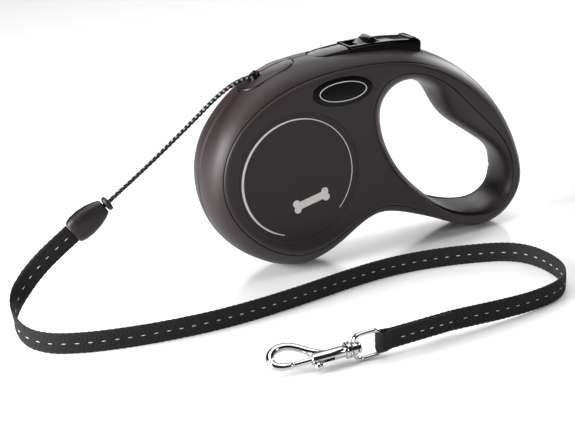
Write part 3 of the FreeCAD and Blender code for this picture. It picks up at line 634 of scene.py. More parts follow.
def half_width(x):
    """Half width of the housing, which narrows along the handle."""
    past = x - TAPER_START
    return HALF - TAPER * (math.sqrt(past ** 2 + 49.0) + past) / 2


def housing_columns(around):
    """Matched points of rim and hand opening at each step around."""
    rim_at = np.linspace(0, len(RIM), around, endpoint=False)
    hand_at = np.interp(rim_at, range(len(HAND_FOR_RIM)), HAND_FOR_RIM)
    edge = smooth_closed([a for a, b in RIM], rim_at)
    line = smooth_closed([b for a, b in RIM], rim_at)
    hole = smooth_closed([a for a, b in HAND], hand_at)
    hole_line = smooth_closed([b for a, b in HAND], hand_at)
    return edge, line, hole, hole_line


def calmed(values, half):
    """Lowest value nearby, averaged over its neighbours on the closed loop."""
    shifts = range(-half, half + 1)
    low = np.min([np.roll(values, k) for k in shifts], axis=0)
    return np.mean([np.roll(low, k) for k in shifts], axis=0)


def housing_half(name, side, around):
    """One half's skin: rim, flank and hand opening as a single band of faces."""
    edge, line, hole, hole_line = housing_columns(around)
    rim_rows = with_groove(hermite_rows(RIM_CURVE, 26), 1.0, 0.05, GROOVE_DEPTH)
    hand_rows = with_groove(hermite_rows(HAND_CURVE, 20), 1.0, 0.06, GROOVE_DEPTH)
    flank_rows = np.linspace(0, 1, 26)[1:-1]
    reach = np.linalg.norm(hole - edge, axis=1)
    inset = RIM_CURVE[-1][0] * np.linalg.norm(line - edge, axis=1)
    hand_inset = HAND_CURVE[-1][0] * np.linalg.norm(hole_line - hole, axis=1)
    room = calmed(np.minimum(1.0, 0.84 * reach / (inset + hand_inset)), around // 30)
    columns = []
    for i, squeeze in enumerate(room):
        on_handle = fade(edge[i][0], 20.0, 34.0)
        column = []
        for share, height, drop in rim_rows:
            point = edge[i] + (line[i] - edge[i]) * share * squeeze
            if share < 0.02:
                drop = SEAM_DEPTH * (1 - share / 0.02) if height < 0.012 else 0.0
                inward = (line[i] - edge[i]) / np.linalg.norm(line[i] - edge[i])
                point = point + inward * drop
                column.append((point[0], height * half_width(point[0]), point[1]))
            else:
                drop *= 1 - on_handle
                column.append((point[0], height * half_width(point[0]) - drop, point[1]))
        outer_end = edge[i] + (line[i] - edge[i]) * RIM_CURVE[-1][0] * squeeze
        inner_end = hole[i] + (hole_line[i] - hole[i]) * HAND_CURVE[-1][0] * squeeze
        for share in flank_rows:
            point = outer_end + (inner_end - outer_end) * share
            column.append((point[0], half_width(point[0]), point[1]))
        for share, height, drop in reversed(hand_rows):
            point = hole[i] + (hole_line[i] - hole[i]) * share * squeeze
            column.append((point[0], height * half_width(point[0]) - drop, point[1]))
        columns.append(column)
    count = len(columns[0])
    points = [(x, side * y, z) for column in columns for x, y, z in column]
    faces = []
    for i in range(around):
        here, there = i * count, ((i + 1) % around) * count
        for j in range(count - 1):
            face = (here + j, here + j + 1, there + j + 1, there + j)
            faces.append(face if side < 0 else tuple(reversed(face)))
    return piece(name, points, faces, "housing")


def oblong(length, width, steps=72):
    """Oblong outline: half length, half width; counts of points stay the same."""
    straight = length - width
    out = []
    for j in range(steps):
        angle = TAU * (j + 0.5) / steps
        shift = straight if math.cos(angle) > 0 else -straight
        out.append((shift + width * math.cos(angle), width * math.sin(angle)))
    return out


def oval(length, width, steps=72):
    """Oval outline: half length, half width."""
    return [(length * math.cos(TAU * j / steps), width * math.sin(TAU * j / steps)) for j in range(steps)]


def prism(name, outline, place, low, high):
    """Straight-sided cutter from a flat outline."""
    loops = [[place(a, b, height) for a, b in outline] for height in (low, high)]
    return loft(name, loops, "housing")


GUIDE_CENTRE = Vector((-49.5, 0.0, 91.2))
GUIDE_SLOPE = math.radians(29.0)
GUIDE_ALONG = Vector((math.cos(GUIDE_SLOPE), 0.0, math.sin(GUIDE_SLOPE)))
GUIDE_OUT = Vector((-math.sin(GUIDE_SLOPE), 0.0, math.cos(GUIDE_SLOPE)))


def guide_place(a, b, height):
    """Point over the cord guide: along its slope, across the parting plane, out of it."""
    return GUIDE_CENTRE + GUIDE_ALONG * a + Vector((0, b, 0)) + GUIDE_OUT * height


def slot_outline(margin, x_low, x_high):
    """Plan of the button's slot, with a round front."""
    width = 6.8 + margin
    out = [(x_high, -width), (x_high, width)]
    for j in range(17):
        angle = math.pi / 2 + math.pi * j / 16
        out.append((x_low + width + width * math.cos(angle), width * math.sin(angle)))
    return out


def plan_place(a, b, height):
    """Point over the housing's plan."""
    return Vector((a, b, height))


SKIN = {}


def skin_tree(parts):
    """Search tree over both halves' outside."""
    work = bmesh.new()
    for part in parts:
        work.from_mesh(part.data)
    tree = BVHTree.FromBMesh(work)
    work.free()
    return tree


def skin_height(place, out, a, b, reach=14.0):
    """Height of the skin above a local plane."""
    start = place(a, b, reach) * MM
    hit = SKIN["tree"].ray_cast(start, -out, 2 * reach * MM)
    return reach - hit[3] / MM if hit[0] is not None else None


def cap_on_skin(name, outline_at, place, out, proud, edge, skirt, material, hole=None, dome=0.0):
    """Cover that follows the skin: rings from its rounded edge in to its middle or hole."""
    insets = [0.0, 0.04, 0.12, 0.25, 0.42, 0.65, 1.0]
    flat_rows = 16
    rings = []
    heights = [skin_height(place, out, a, b) for a, b in outline_at(0.3)]
    known = [h for h in heights if h is not None]
    heights = [h if h is not None else sum(known) / len(known) for h in heights]
    rings.append([place(a, b, h - skirt) for (a, b), h in zip(outline_at(0.0), heights)])
    for inset in insets:
        ring = []
        for (a, b), h in zip(outline_at(inset * edge), heights):
            fall = edge * (1 - math.sqrt(max(0.0, 1 - (1 - inset) ** 2)))
            ring.append(place(a, b, h + proud - fall))
        rings.append(ring)
    inner = outline_at(edge)
    for row in range(1, flat_rows + 1):
        share = row / flat_rows
        ring = []
        for j, (a, b) in enumerate(inner):
            ea, eb = hole(j) if hole else (0.0, 0.0)
            x, y = a + (ea - a) * share, b + (eb - b) * share
            if not hole and row == flat_rows:
                x, y = 0.001 * a, 0.001 * b
            h = skin_height(place, out, x, y)
            h = heights[j] if h is None else h
            lift = dome * (1 - (1 - share) ** 2)
            ring.append(place(x, y, h + proud + lift))
        rings.append(ring)
    if hole:
        last = rings[-1]
        rings.append([p - out * skirt for p in last])
        return sharp_by_angle(loft(name, rings, material, closed_loop=True), 40.0)
    return sharp_by_angle(loft(name, rings, material), 40.0)


WELL_HOLE, WELL_INSIDE, WELL_OUTSIDE = 2.95, 2.9, 3.2     # radii of a screw well's cut and lining


class LEASH_OT_housing(bpy.types.Operator):
    """Both moulded halves, with the slots for the button and the cord guide"""
    bl_idname = "leash.housing"
    bl_label = "Housing Halves"

    def execute(self, context):
        around = settings("leash_housing").around
        halves = {flank: housing_half(f"shell_{flank}", side, around) for flank, side in FLANKS}
        SKIN["tree"] = skin_tree(halves.values())
        for flank, half in halves.items():
            thick = half.modifiers.new("wall", "SOLIDIFY")
            thick.thickness, thick.offset = settings("leash_housing").wall, -1.0
            thick.use_rim = True
            settle(half)
            guide_cut = prism("guide_cut", oblong(14.0, 7.95), guide_place, -9.0, 9.0)
            slot_cut = prism("slot_cut", slot_outline(0.3, -28.3, 26.6), plan_place, 86.5, 104.0)
            carve(half, joined("cutter", [guide_cut, slot_cut]))
            if flank == "right":
                self.wells(half)
            sharp_by_angle(half, 32.0)
            ride(half, "housing", f"{flank}_shell")
        return {"FINISHED"}

    def wells(self, half):
        """Screw wells of the right half: round holes with a lining down to each screw head's seat."""
        holes, linings = [], []
        for x, z in SCREW_PLACES:
            seat = 9.0 if x < 60 else 6.6
            start = Vector((x, 40.0, z))
            tops = []
            for a, b in oval(WELL_OUTSIDE + 0.2, WELL_OUTSIDE + 0.2, 12):
                edge = start + Vector((a, 0, b))
                hit = SKIN["tree"].ray_cast(edge * MM, Vector((0, -1, 0)), 0.04)
                if hit[0] is not None:
                    tops.append(hit[0].y / MM)
            top = min(tops) - 0.35
            holes.append([[Vector((x + a, y, z + b)) for a, b in oval(WELL_HOLE, WELL_HOLE, 40)]
                          for y in (seat - 1.5, 22.0)])
            profile = [(seat - 1.0, 1.5), (seat - 1.0, WELL_OUTSIDE), (top, WELL_OUTSIDE), (top, WELL_INSIDE),
                       (seat - 0.02, WELL_INSIDE), (seat - 0.02, 1.5)]
            linings.append(lathe("well", profile, Vector((x, 0, z)), Vector((0, 1, 0)), "housing", 40))
        carve(half, joined("wells_cut", [loft("hole", rings, "housing") for rings in holes]), True)
        if max(v.co.y for v in half.data.vertices) > (HALF + 0.5) * MM:
            raise RuntimeError("A screw well's cutter was left standing on the housing")
        ride(joined("screw_wells", linings), "housing")


# Label disc: height over the flank and radius, with the groove just inside its edge.
DISC_PROFILE = [(HALF + height, radius) for height, radius in (
    (-0.8, 0.0), (-0.8, 29.75), (-0.1, 29.75), (0.06, 29.6), (0.12, 29.4), (0.12, 29.15), (-0.45, 29.0),
    (-0.45, 28.65), (0.10, 28.5), (0.10, 20.0), (0.10, 10.0), (0.10, 0.0))]
BADGE_CENTRE = (-19.4, 81.8)
PRINT_LOW, PRINT_HIGH = 0.09, 0.16      # silver print over the flank


class LEASH_OT_labels(bpy.types.Operator):
    """Flank discs with their silver ring, and the plain domed oval badges"""
    bl_idname = "leash.labels"
    bl_label = "Discs and Badges"

    def execute(self, context):
        for flank, side in FLANKS:
            out = Vector((0, side, 0))
            origin = Vector((DRUM.x, 0, DRUM.z))
            disc = lathe(f"label_disc_{flank}", DISC_PROFILE, origin, out, "panel", 160)
            ride(disc, "housing", f"{flank}_label_disc")
            ride(self.ring(f"label_ring_{flank}", side), "housing")
            ride(self.bone(f"label_mark_{flank}", side), "housing")

            def place(a, b, height, side=side):
                return Vector((BADGE_CENTRE[0] + a, side * (HALF + height), BADGE_CENTRE[1] + b))

            badge = cap_on_skin(f"badge_{flank}", lambda inset: oval(15.0 - inset, 6.6 - inset), place, out,
                                0.25, 0.5, 0.8, "gloss", dome=0.4)
            ride(badge, "housing", f"{flank}_badge")
            ride(self.badge_line(f"badge_line_{flank}", side), "housing")
        return {"FINISHED"}

    def ring(self, name, side):
        """Crescent line, open at the lower right."""
        start, end, steps = math.radians(-42), math.radians(252), 180
        loops = []
        for i in range(steps + 1):
            share = i / steps
            angle = start + (end - start) * share
            swell = max(0.0, math.cos(0.6 * (angle - math.radians(195)))) ** 2
            half = 0.16 + 0.48 * swell * math.sin(math.pi * share) ** 0.5
            radius = 26.6 + 0.5 * math.cos(angle - math.radians(160))
            ring = []
            for reach, height in ((-half, PRINT_LOW), (half, PRINT_LOW), (half, PRINT_HIGH),
                                  (-half, PRINT_HIGH)):
                ring.append(Vector((DRUM.x + (radius + reach) * math.cos(angle), side * (HALF + height),
                                    DRUM.z + (radius + reach) * math.sin(angle))))
            loops.append(ring)
        return sharp_by_angle(loft(name, loops, "print"))

    def bone(self, name, side):
        """Plain bone sign at the foot of the disc."""
        outline = []
        for cx, cz, start, end in ((7.2, 1.45, -40, 170), (-7.2, 1.45, 10, 220), (-7.2, -1.45, 140, 350),
                                   (7.2, -1.45, 190, 400)):
            for j in range(13):
                angle = math.radians(start + (end - start) * j / 12)
                outline.append((cx + 1.75 * math.cos(angle), cz + 1.75 * math.sin(angle)))
        tilt = math.radians(14)
        turned = [(DRUM.x + 5.5 + a * math.cos(tilt) - b * math.sin(tilt),
                   DRUM.z - 11.5 + a * math.sin(tilt) + b * math.cos(tilt)) for a, b in outline]
        loops = [[Vector((x, side * (HALF + height), z)) for x, z in turned]
                 for height in (PRINT_LOW, PRINT_HIGH)]
        return sharp_by_angle(loft(name, loops, "print"))

    def badge_line(self, name, side):
        """Thin oval line on the badge."""
        loops = []
        for j in range(96):
            angle = TAU * j / 96
            ring = []
            for reach, height in ((-0.16, 0.40), (0.16, 0.40), (0.16, 0.66), (-0.16, 0.66)):
                x, z = (11.4 + reach) * math.cos(angle), (4.3 + reach) * math.sin(angle)
                ring.append(Vector((BADGE_CENTRE[0] + x, side * (HALF + height), BADGE_CENTRE[1] + z)))
            loops.append(ring)
        return sharp_by_angle(loft(name, loops, "print", closed_loop=True))


class LEASH_OT_guide(bpy.types.Operator):
    """Oblong insert where the cord comes out, with its collar"""
    bl_idname = "leash.guide"
    bl_label = "Cord Guide"

    def execute(self, context):
        centre = -4.9
        steps = 72

        def eyelet(j):
            angle = TAU * (j + 0.5) / steps
            return centre + 3.4 * math.cos(angle), 3.2 * math.sin(angle)

        cover = cap_on_skin("guide_cover", lambda inset: oblong(13.5 - inset, 7.4 - inset), guide_place,
                            GUIDE_OUT, 0.45, 0.9, 3.4, "guide", hole=eyelet)
        height = skin_height(guide_place, GUIDE_OUT, centre, 0.0) or 0.0
        origin = guide_place(centre, 0.0, height + 0.5)
        lean = (GUIDE_OUT - GUIDE_ALONG * 0.35).normalized()
        collar = lathe("guide_collar", [(-2.6, 1.7), (-0.2, 1.45), (0.5, 1.55), (1.05, 2.0), (1.25, 2.5),
                                        (1.05, 3.0), (0.55, 3.35), (-0.3, 3.5), (-2.6, 3.3)],
                       origin, lean, "gloss", 48)
        ride(cover, "housing", "cord_guide")
        ride(collar, "housing")
        return {"FINISHED"}


def button_top(x):
    """Height of the button group's top along the housing."""
    return float(np.interp(x, (-28.3, -20.0, -10.4, 0.0, 12.0, 22.0, 25.0, 26.2),
                           (95.8, 97.3, 98.2, 98.5, 98.1, 97.2, 97.1, 96.7)))


def button_section(x, half, top, low, radius):
    """Upright section with rounded upper edges."""
    ring = [(x, -half, low), (x, half, low)]
    for j in range(7):
        angle = math.pi / 2 * j / 6
        ring.append((x, half - radius + radius * math.cos(angle), top - radius + radius * math.sin(angle)))
    for j in range(7):
        angle = math.pi / 2 * (1 + j / 6)
        ring.append((x, -half + radius + radius * math.cos(angle), top - radius + radius * math.sin(angle)))
    return ring


class LEASH_OT_button(bpy.types.Operator):
    """Front cover, brake button and the lock slider"""
    bl_idname = "leash.button"
    bl_label = "Button Group"

    def execute(self, context):
        def plan(inset):
            width = 7.0 - inset
            out = []
            for j in range(12):
                out.append((-10.55 - inset * 0.4, -width + 2 * width * j / 11))
            for j in range(48):
                angle = math.pi / 2 + math.pi * (j + 0.5) / 48
                out.append((-28.2 + 7.0 + width * math.cos(angle), width * math.sin(angle)))
            return out

        loops = []
        edge = 1.0
        for drop in (3.4, 1.6):
            loops.append([Vector((a, b, button_top(a) - drop - 0.6 * (b / 7.0) ** 2)) for a, b in plan(0.0)])
        for inset in (0.0, 0.05, 0.15, 0.3, 0.5, 0.75, 1.0):
            fall = edge * (1 - math.sqrt(max(0.0, 1 - (1 - inset) ** 2)))
            loops.append([Vector((a, b, button_top(a) - 0.25 - fall - 0.6 * (b / 7.0) ** 2))
                          for a, b in plan(inset * edge)])
        for row in range(1, 13):
            share = row / 12.0
            ring = []
            for a, b in plan(edge):
                x, y = a + (-17.5 - a) * share * 0.999, b * (1 - share * 0.999)
                ring.append(Vector((x, y, button_top(x) - 0.25 - 0.6 * (y / 7.0) ** 2)))
            loops.append(ring)
        cover = sharp_by_angle(loft("button_front_cover", loops, "gloss"), 40.0)
        ride(cover, "housing", "button_cover")

        sections = []
        for x in np.concatenate([[-10.1, -9.9], np.linspace(-9.4, 24.6, 36), [25.2, 25.7, 26.0, 26.2]]):
            end = max(0.0, x - 24.9) / 1.3
            shrink = 1.1 * (1 - math.sqrt(max(0.0, 1 - end ** 2)))
            sections.append([Vector(p) for p in button_section(
                float(x), 6.8 - shrink, button_top(x) - shrink, 87.7 + shrink * 0.3, 1.3)])
        button = loft("brake_button_top", sections, "gloss")
        track = rounded(prism("track_cut", [(-9.5, -4.7), (5.7, -4.7), (5.7, 4.7), (-9.5, 4.7)], plan_place,
                              96.75, 102.0), 0.5, 2)
        carve(button, track)
        sharp_by_angle(button, 34.0)
        grip = side_profile("button_grip_lip", [(20.6, 97.0), (20.9, 97.75), (21.5, 97.95), (23.9, 97.8),
                                                (24.3, 97.5), (24.4, 96.9)], 5.4, "gloss", 0.18)
        arm = side_profile("button_arm", [(-16.4, 89.6), (-16.4, 92.4), (-14.9, 93.5), (-12.6, 93.4),
                                          (-8.2, 92.4), (-8.2, 87.6), (-14.0, 87.6)], 6.0, "gloss", 0.3)
        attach(arm, "button")
        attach(grip, "button")
        ride(button, "button", "brake_button")

        ridge = [(-4.3, 96.85), (-4.3, 97.6), (-3.0, 97.9), (-1.6, 98.5), (-0.4, 99.3), (0.8, 100.2),
                 (1.7, 100.6), (2.6, 100.55), (3.3, 100.1), (3.9, 99.3), (4.6, 98.5), (5.1, 97.9),
                 (5.1, 96.85)]
        slider = side_profile("lock_slider_top", ridge, 4.35, "gloss", 0.35)
        ride(slider, "lock", "lock_slider")
        return {"FINISHED"}


# ------------------------------------------------------------------ cord, coupling and tape
COUPLING_AXIS = (COUPLING_END - COUPLING_TOP).normalized()
COUPLING_WIDTH = Vector((COUPLING_AXIS.z, 0.0, -COUPLING_AXIS.x))
COUPLING_SIZES = ((0.0, 3.0, 2.3), (0.04, 3.5, 2.8), (0.15, 4.4, 3.2), (0.35, 5.5, 3.7), (0.60, 6.1, 3.9),
                  (0.82, 5.95, 3.75), (0.93, 5.5, 3.35), (0.98, 5.1, 2.95), (1.0, 4.6, 2.4))
COUPLING_AT, *COUPLING_WIDE_AND_THICK = zip(*COUPLING_SIZES)


class LEASH_OT_cord(bpy.types.Operator):
    """Twisted cord from the guide to the coupling"""
    bl_idname = "leash.cord"
    bl_label = "Free Cord"

    def execute(self, context):
        cord = settings("leash_cord")
        line = nurbs_line("cord_path", CORD_ROUTE)
        places, points, slopes = spaced(line, 0.28)
        sides = carried_frames(slopes, (0, 1, 0))
        others = np.cross(slopes, sides)
        strand = cord.radius / MM * 0.52
        wide = cord.radius / MM * 1.02 - strand
        parts = []
        for number in range(3):
            angle = TAU * (places / (cord.lay / MM) + number / 3)
            route = points + (sides * np.cos(angle)[:, None] + others * np.sin(angle)[:, None]) * wide
            stretch = np.linalg.norm(np.diff(route, axis=0), axis=1).sum() / places[-1]
            parts.append(tube_along(f"strand_{number}", route, [strand] * len(route), "cord", 10,
                                    uv=number / 3 * cord.lay / MM * stretch))
        rope = joined("cord_strands", parts)
        ride(rope, "housing", "cord_line")
        context.scene["cord_path"] = [tuple(p * MM) for p in points]
        return {"FINISHED"}


def coupling_loop(share, width, thick, side, gap=0.12):
    """Half of a flattened oval on one side of the seam, in millimetres."""
    length = (COUPLING_END - COUPLING_TOP).length
    centre = COUPLING_TOP + COUPLING_AXIS * (share * length)
    ring = []
    for j in range(25):
        angle = math.pi * j / 24
        a = math.copysign(abs(math.cos(angle)) ** 0.8, math.cos(angle)) * width
        b = max(0.0, math.sin(angle)) ** 0.8 * thick
        ring.append(centre + COUPLING_WIDTH * a + Vector((0, side * (gap + b), 0)))
    return ring


class LEASH_OT_coupling(bpy.types.Operator):
    """Stop ring and the two halves that join cord and tape"""
    bl_idname = "leash.coupling"
    bl_label = "Coupling"

    def execute(self, context):
        for half, side in (("front", -1), ("back", 1)):
            loops = []
            for share in np.linspace(0, 1, 40):
                width, thick = (float(np.interp(share, COUPLING_AT, sizes))
                                for sizes in COUPLING_WIDE_AND_THICK)
                loops.append(coupling_loop(float(share), width, thick, side))
            body = rounded(loft(f"coupling_shell_{half}", loops, "coupling"), 0.22, 2, 50.0)
            ride(sharp_by_angle(body, 45.0), "housing", f"coupling_{half}")
        origin = COUPLING_TOP - COUPLING_AXIS * 2.8
        bead = [(0.0, 1.02), (0.05, 2.3), (0.3, 2.9), (0.75, 3.25), (1.2, 3.32), (1.7, 3.2), (2.1, 2.8),
                (2.35, 2.2), (2.5, 1.02)]
        ring = lathe("stop_ring_bead", bead, origin, COUPLING_AXIS, "coupling", 56)
        ride(ring, "housing", "stop_ring")
        return {"FINISHED"}


def tape_up(point):
    """Direction of the tape's width: square to the coupling at first, then upright on the floor."""
    turned = min(1.0, max(0.0, (COUPLING_END.z - point[2]) / (COUPLING_END.z - 5.0)))
    if point[0] > -166.0 and point[1] < -30:
        turned = 1.0
    lean = COUPLING_WIDTH if COUPLING_WIDTH.z > 0 else -COUPLING_WIDTH
    up = lean * (1 - turned) + Vector((0, 0, 1)) * turned
    return np.array(up.normalized())


def tape_rings(places, points, slopes, ups, width, thick, rib):
    """Woven band's sections: weft ribs across it and looped selvedges."""
    loops, uvs = [], []
    across = np.linspace(-1, 1, 13)
    for place, point, slope, up in zip(places, points, slopes, ups):
        side = np.cross(slope, up)
        side /= np.linalg.norm(side)
        rise = np.cross(side, slope)
        wave = math.cos(TAU * place / rib)
        scallop = abs(math.sin(math.pi * place / (2 * rib * 1.5)))
        half = 0.5 * width - 0.16 + 0.16 * scallop
        ring = []
        for sign in (1, -1):
            for share in (across if sign > 0 else across[::-1]):
                fall = 1 - abs(share) ** 7
                body = 0.5 * thick * (0.80 + 0.10 * wave)
                swell = 0.06 * math.cos(TAU * share * width / 1.9 + math.pi * round(place / rib))
                out = sign * (body + swell) * (0.35 + 0.65 * fall)
                ring.append(point + rise * (share * half) + side * out)
                uvs.append((place * MM, share * 0.5 * width * MM))
        loops.append(ring)
    return loops, uvs


DASH = (0.96, 0.16, 0.17)       # half sizes of a stitch: along, across and out, millimetres


def stitch_row(name, places, points, slopes, outs, pitch, size):
    """Dashes of thread instanced on a line of points, made real."""
    marks = [i for i in np.searchsorted(places, np.arange(pitch * 0.7, places[-1] - pitch * 0.3, pitch))
             if i < len(places)]
    mesh = bpy.data.meshes.new(name)
    mesh.from_pydata([tuple(points[i] * MM) for i in marks], [], [])
    for label, vectors in (("along", slopes), ("out", outs)):
        data = mesh.attributes.new(label, "FLOAT_VECTOR", "POINT")
        for item, i in zip(data.data, marks):
            item.vector = vectors[i]
    obj = bpy.data.objects.new(name, mesh)
    bpy.context.scene.collection.objects.link(obj)
    modifier = obj.modifiers.new("stitches", "NODES")
    modifier.node_group = stitch_tree()
    for item in modifier.node_group.interface.items_tree:
        if item.name == "Dash":
            modifier[item.identifier] = [c * MM for c in size]
    return settle(obj)


def stitch_tree():
    """Node tree: one small rounded dash on every point, turned along the seam."""
    if "leash_stitches" in bpy.data.node_groups:
        return bpy.data.node_groups["leash_stitches"]
    tree = bpy.data.node_groups.new("leash_stitches", "GeometryNodeTree")
    face = tree.interface
    face.new_socket(name="Geometry", in_out="INPUT", socket_type="NodeSocketGeometry")
    dash = face.new_socket(name="Dash", in_out="INPUT", socket_type="NodeSocketVector")
    dash.default_value = (0.001, 0.0003, 0.0002)
    face.new_socket(name="Geometry", in_out="OUTPUT", socket_type="NodeSocketGeometry")
    nodes, links = tree.nodes, tree.links
    start, end = nodes.new("NodeGroupInput"), nodes.new("NodeGroupOutput")
    ball = nodes.new("GeometryNodeMeshUVSphere")
    ball.inputs["Segments"].default_value = 10
    ball.inputs["Rings"].default_value = 6
    ball.inputs["Radius"].default_value = 1.0
    turn = nodes.new("FunctionNodeAxesToRotation")
    turn.primary_axis, turn.secondary_axis = "X", "Z"
    for label, slot in (("along", 0), ("out", 1)):
        read = nodes.new("GeometryNodeInputNamedAttribute")
        read.data_type = "FLOAT_VECTOR"
        read.inputs["Name"].default_value = label
        links.new(read.outputs["Attribute"], turn.inputs[slot])
    put = nodes.new("GeometryNodeInstanceOnPoints")
    links.new(start.outputs["Geometry"], put.inputs["Points"])
    links.new(ball.outputs["Mesh"], put.inputs["Instance"])
    links.new(turn.outputs[0], put.inputs["Rotation"])
    links.new(start.outputs["Dash"], put.inputs["Scale"])
    real = nodes.new("GeometryNodeRealizeInstances")
    links.new(put.outputs["Instances"], real.inputs[0])
    smooth = nodes.new("GeometryNodeSetShadeSmooth")
    links.new(real.outputs[0], smooth.inputs["Geometry"])
    paint = nodes.new("GeometryNodeSetMaterial")
    paint.inputs["Material"].default_value = MATERIALS["thread"]
    links.new(smooth.outputs[0], paint.inputs["Geometry"])
    links.new(paint.outputs[0], end.inputs["Geometry"])
    return tree


class LEASH_OT_tape(bpy.types.Operator):
    """Woven tape from the coupling to its sewn end, with its light stitches"""
    bl_idname = "leash.tape"
    bl_label = "Flat Tape"

    def execute(self, context):
        tape = settings("leash_tape")
        width, thick, rib = (value / MM for value in (tape.width, tape.thick, tape.rib))
        line = nurbs_line("tape_path", TAPE_ROUTE)
        places, points, slopes = spaced(line, rib / 4)
        ups = [tape_up(p) for p in points]
        loops, uvs = tape_rings(places, points, slopes, ups, width, thick, rib)
        band = loft("tape_band", loops, "tape", uvs=uvs)
        ride(band, "housing", "tape_run")
        context.scene["tape_path"] = [tuple(p * MM) for p in points[::4]]
        for number, sign in enumerate((1, -1)):
            outs, seats = [], []
            for point, slope, up in zip(points, slopes, ups):
                side = np.cross(slope, up)
                side /= np.linalg.norm(side)
                outs.append(side * sign)
                seats.append(point + side * sign * (0.5 * thick * 0.88))
            row = stitch_row(f"tape_stitches_{number}", places[:-16], np.array(seats), slopes, outs,
                             tape.stitch_pitch / MM, DASH)
            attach(row, "housing")
        self.sewn_end(0.91 * width, thick, rib, tape.stitch_pitch / MM)
        return {"FINISHED"}

    def sewn_end(self, width, thick, rib, pitch):
        """Doubled end: out along one face, round the eye's bar and back along the other."""
        run = TAPE_END_START - EYE_BAR
        along = Vector((run.x, run.y, 0)).normalized()
        side = Vector((-along.y, along.x, 0))
        length = Vector((run.x, run.y, 0)).length
        flat = 0.5 * thick + 0.02
        bend, flare = 1.8, 5.0

        def spread(a):
            return flat + (bend - flat) * fade(flare - a, 0.0, flare)

        runs = [float(a) for a in np.linspace(length + 0.4, 0.0, 90)]
        route = [EYE_BAR + along * a + side * spread(a) for a in runs]
        for j in range(1, 24):
            angle = math.pi * j / 24
            route.append(EYE_BAR - along * (bend * math.sin(angle)) + side * (bend * math.cos(angle)))
        route += [EYE_BAR + along * a - side * spread(a) for a in reversed(runs)]
        places, points, slopes = spaced(np.array([tuple(p) for p in route]), rib / 4)
        ups = [np.array((0.0, 0.0, 1.0))] * len(points)
        loops, uvs = tape_rings(places, points, slopes, ups, width, thick * 0.94, rib)
        end = loft("tape_sewn_end", loops, "tape", uvs=uvs)
        ride(end, "housing", "tape_end")
        count = 160
        seam_places = np.linspace(0, length - 5.5, count)
        for number, sign in enumerate((1, -1)):
            seats = np.array([tuple(EYE_BAR + along * (6.0 + float(a)) + side * sign * (thick + 0.02))
                              for a in seam_places])
            row = stitch_row(f"tape_end_stitches_{number}", seam_places, seats, [tuple(along)] * count,
                             [tuple(side * sign)] * count, pitch * 0.86, DASH)
            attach(row, "housing")


# ------------------------------------------------------------------ swivel eye and bolt snap
EYE_UP = (Vector((0, 0, 1)) - HOOK_AXIS * HOOK_AXIS.z).normalized()
HOOK_UP = (HOOK_TILT - HOOK_AXIS * HOOK_AXIS.dot(HOOK_TILT)).normalized()


def eye_place(s, v, w):
    """Point on the swivel eye: along the snap's axis, across the ring, up it."""
    return EYE_BAR + HOOK_AXIS * s + EYE_UP.cross(HOOK_AXIS) * v + EYE_UP * w


def hook_place(s, v, w):
    """Point on the hook: along the snap's axis, across the bow, up it."""
    return EYE_BAR + HOOK_AXIS * s + HOOK_UP.cross(HOOK_AXIS) * v + HOOK_UP * w


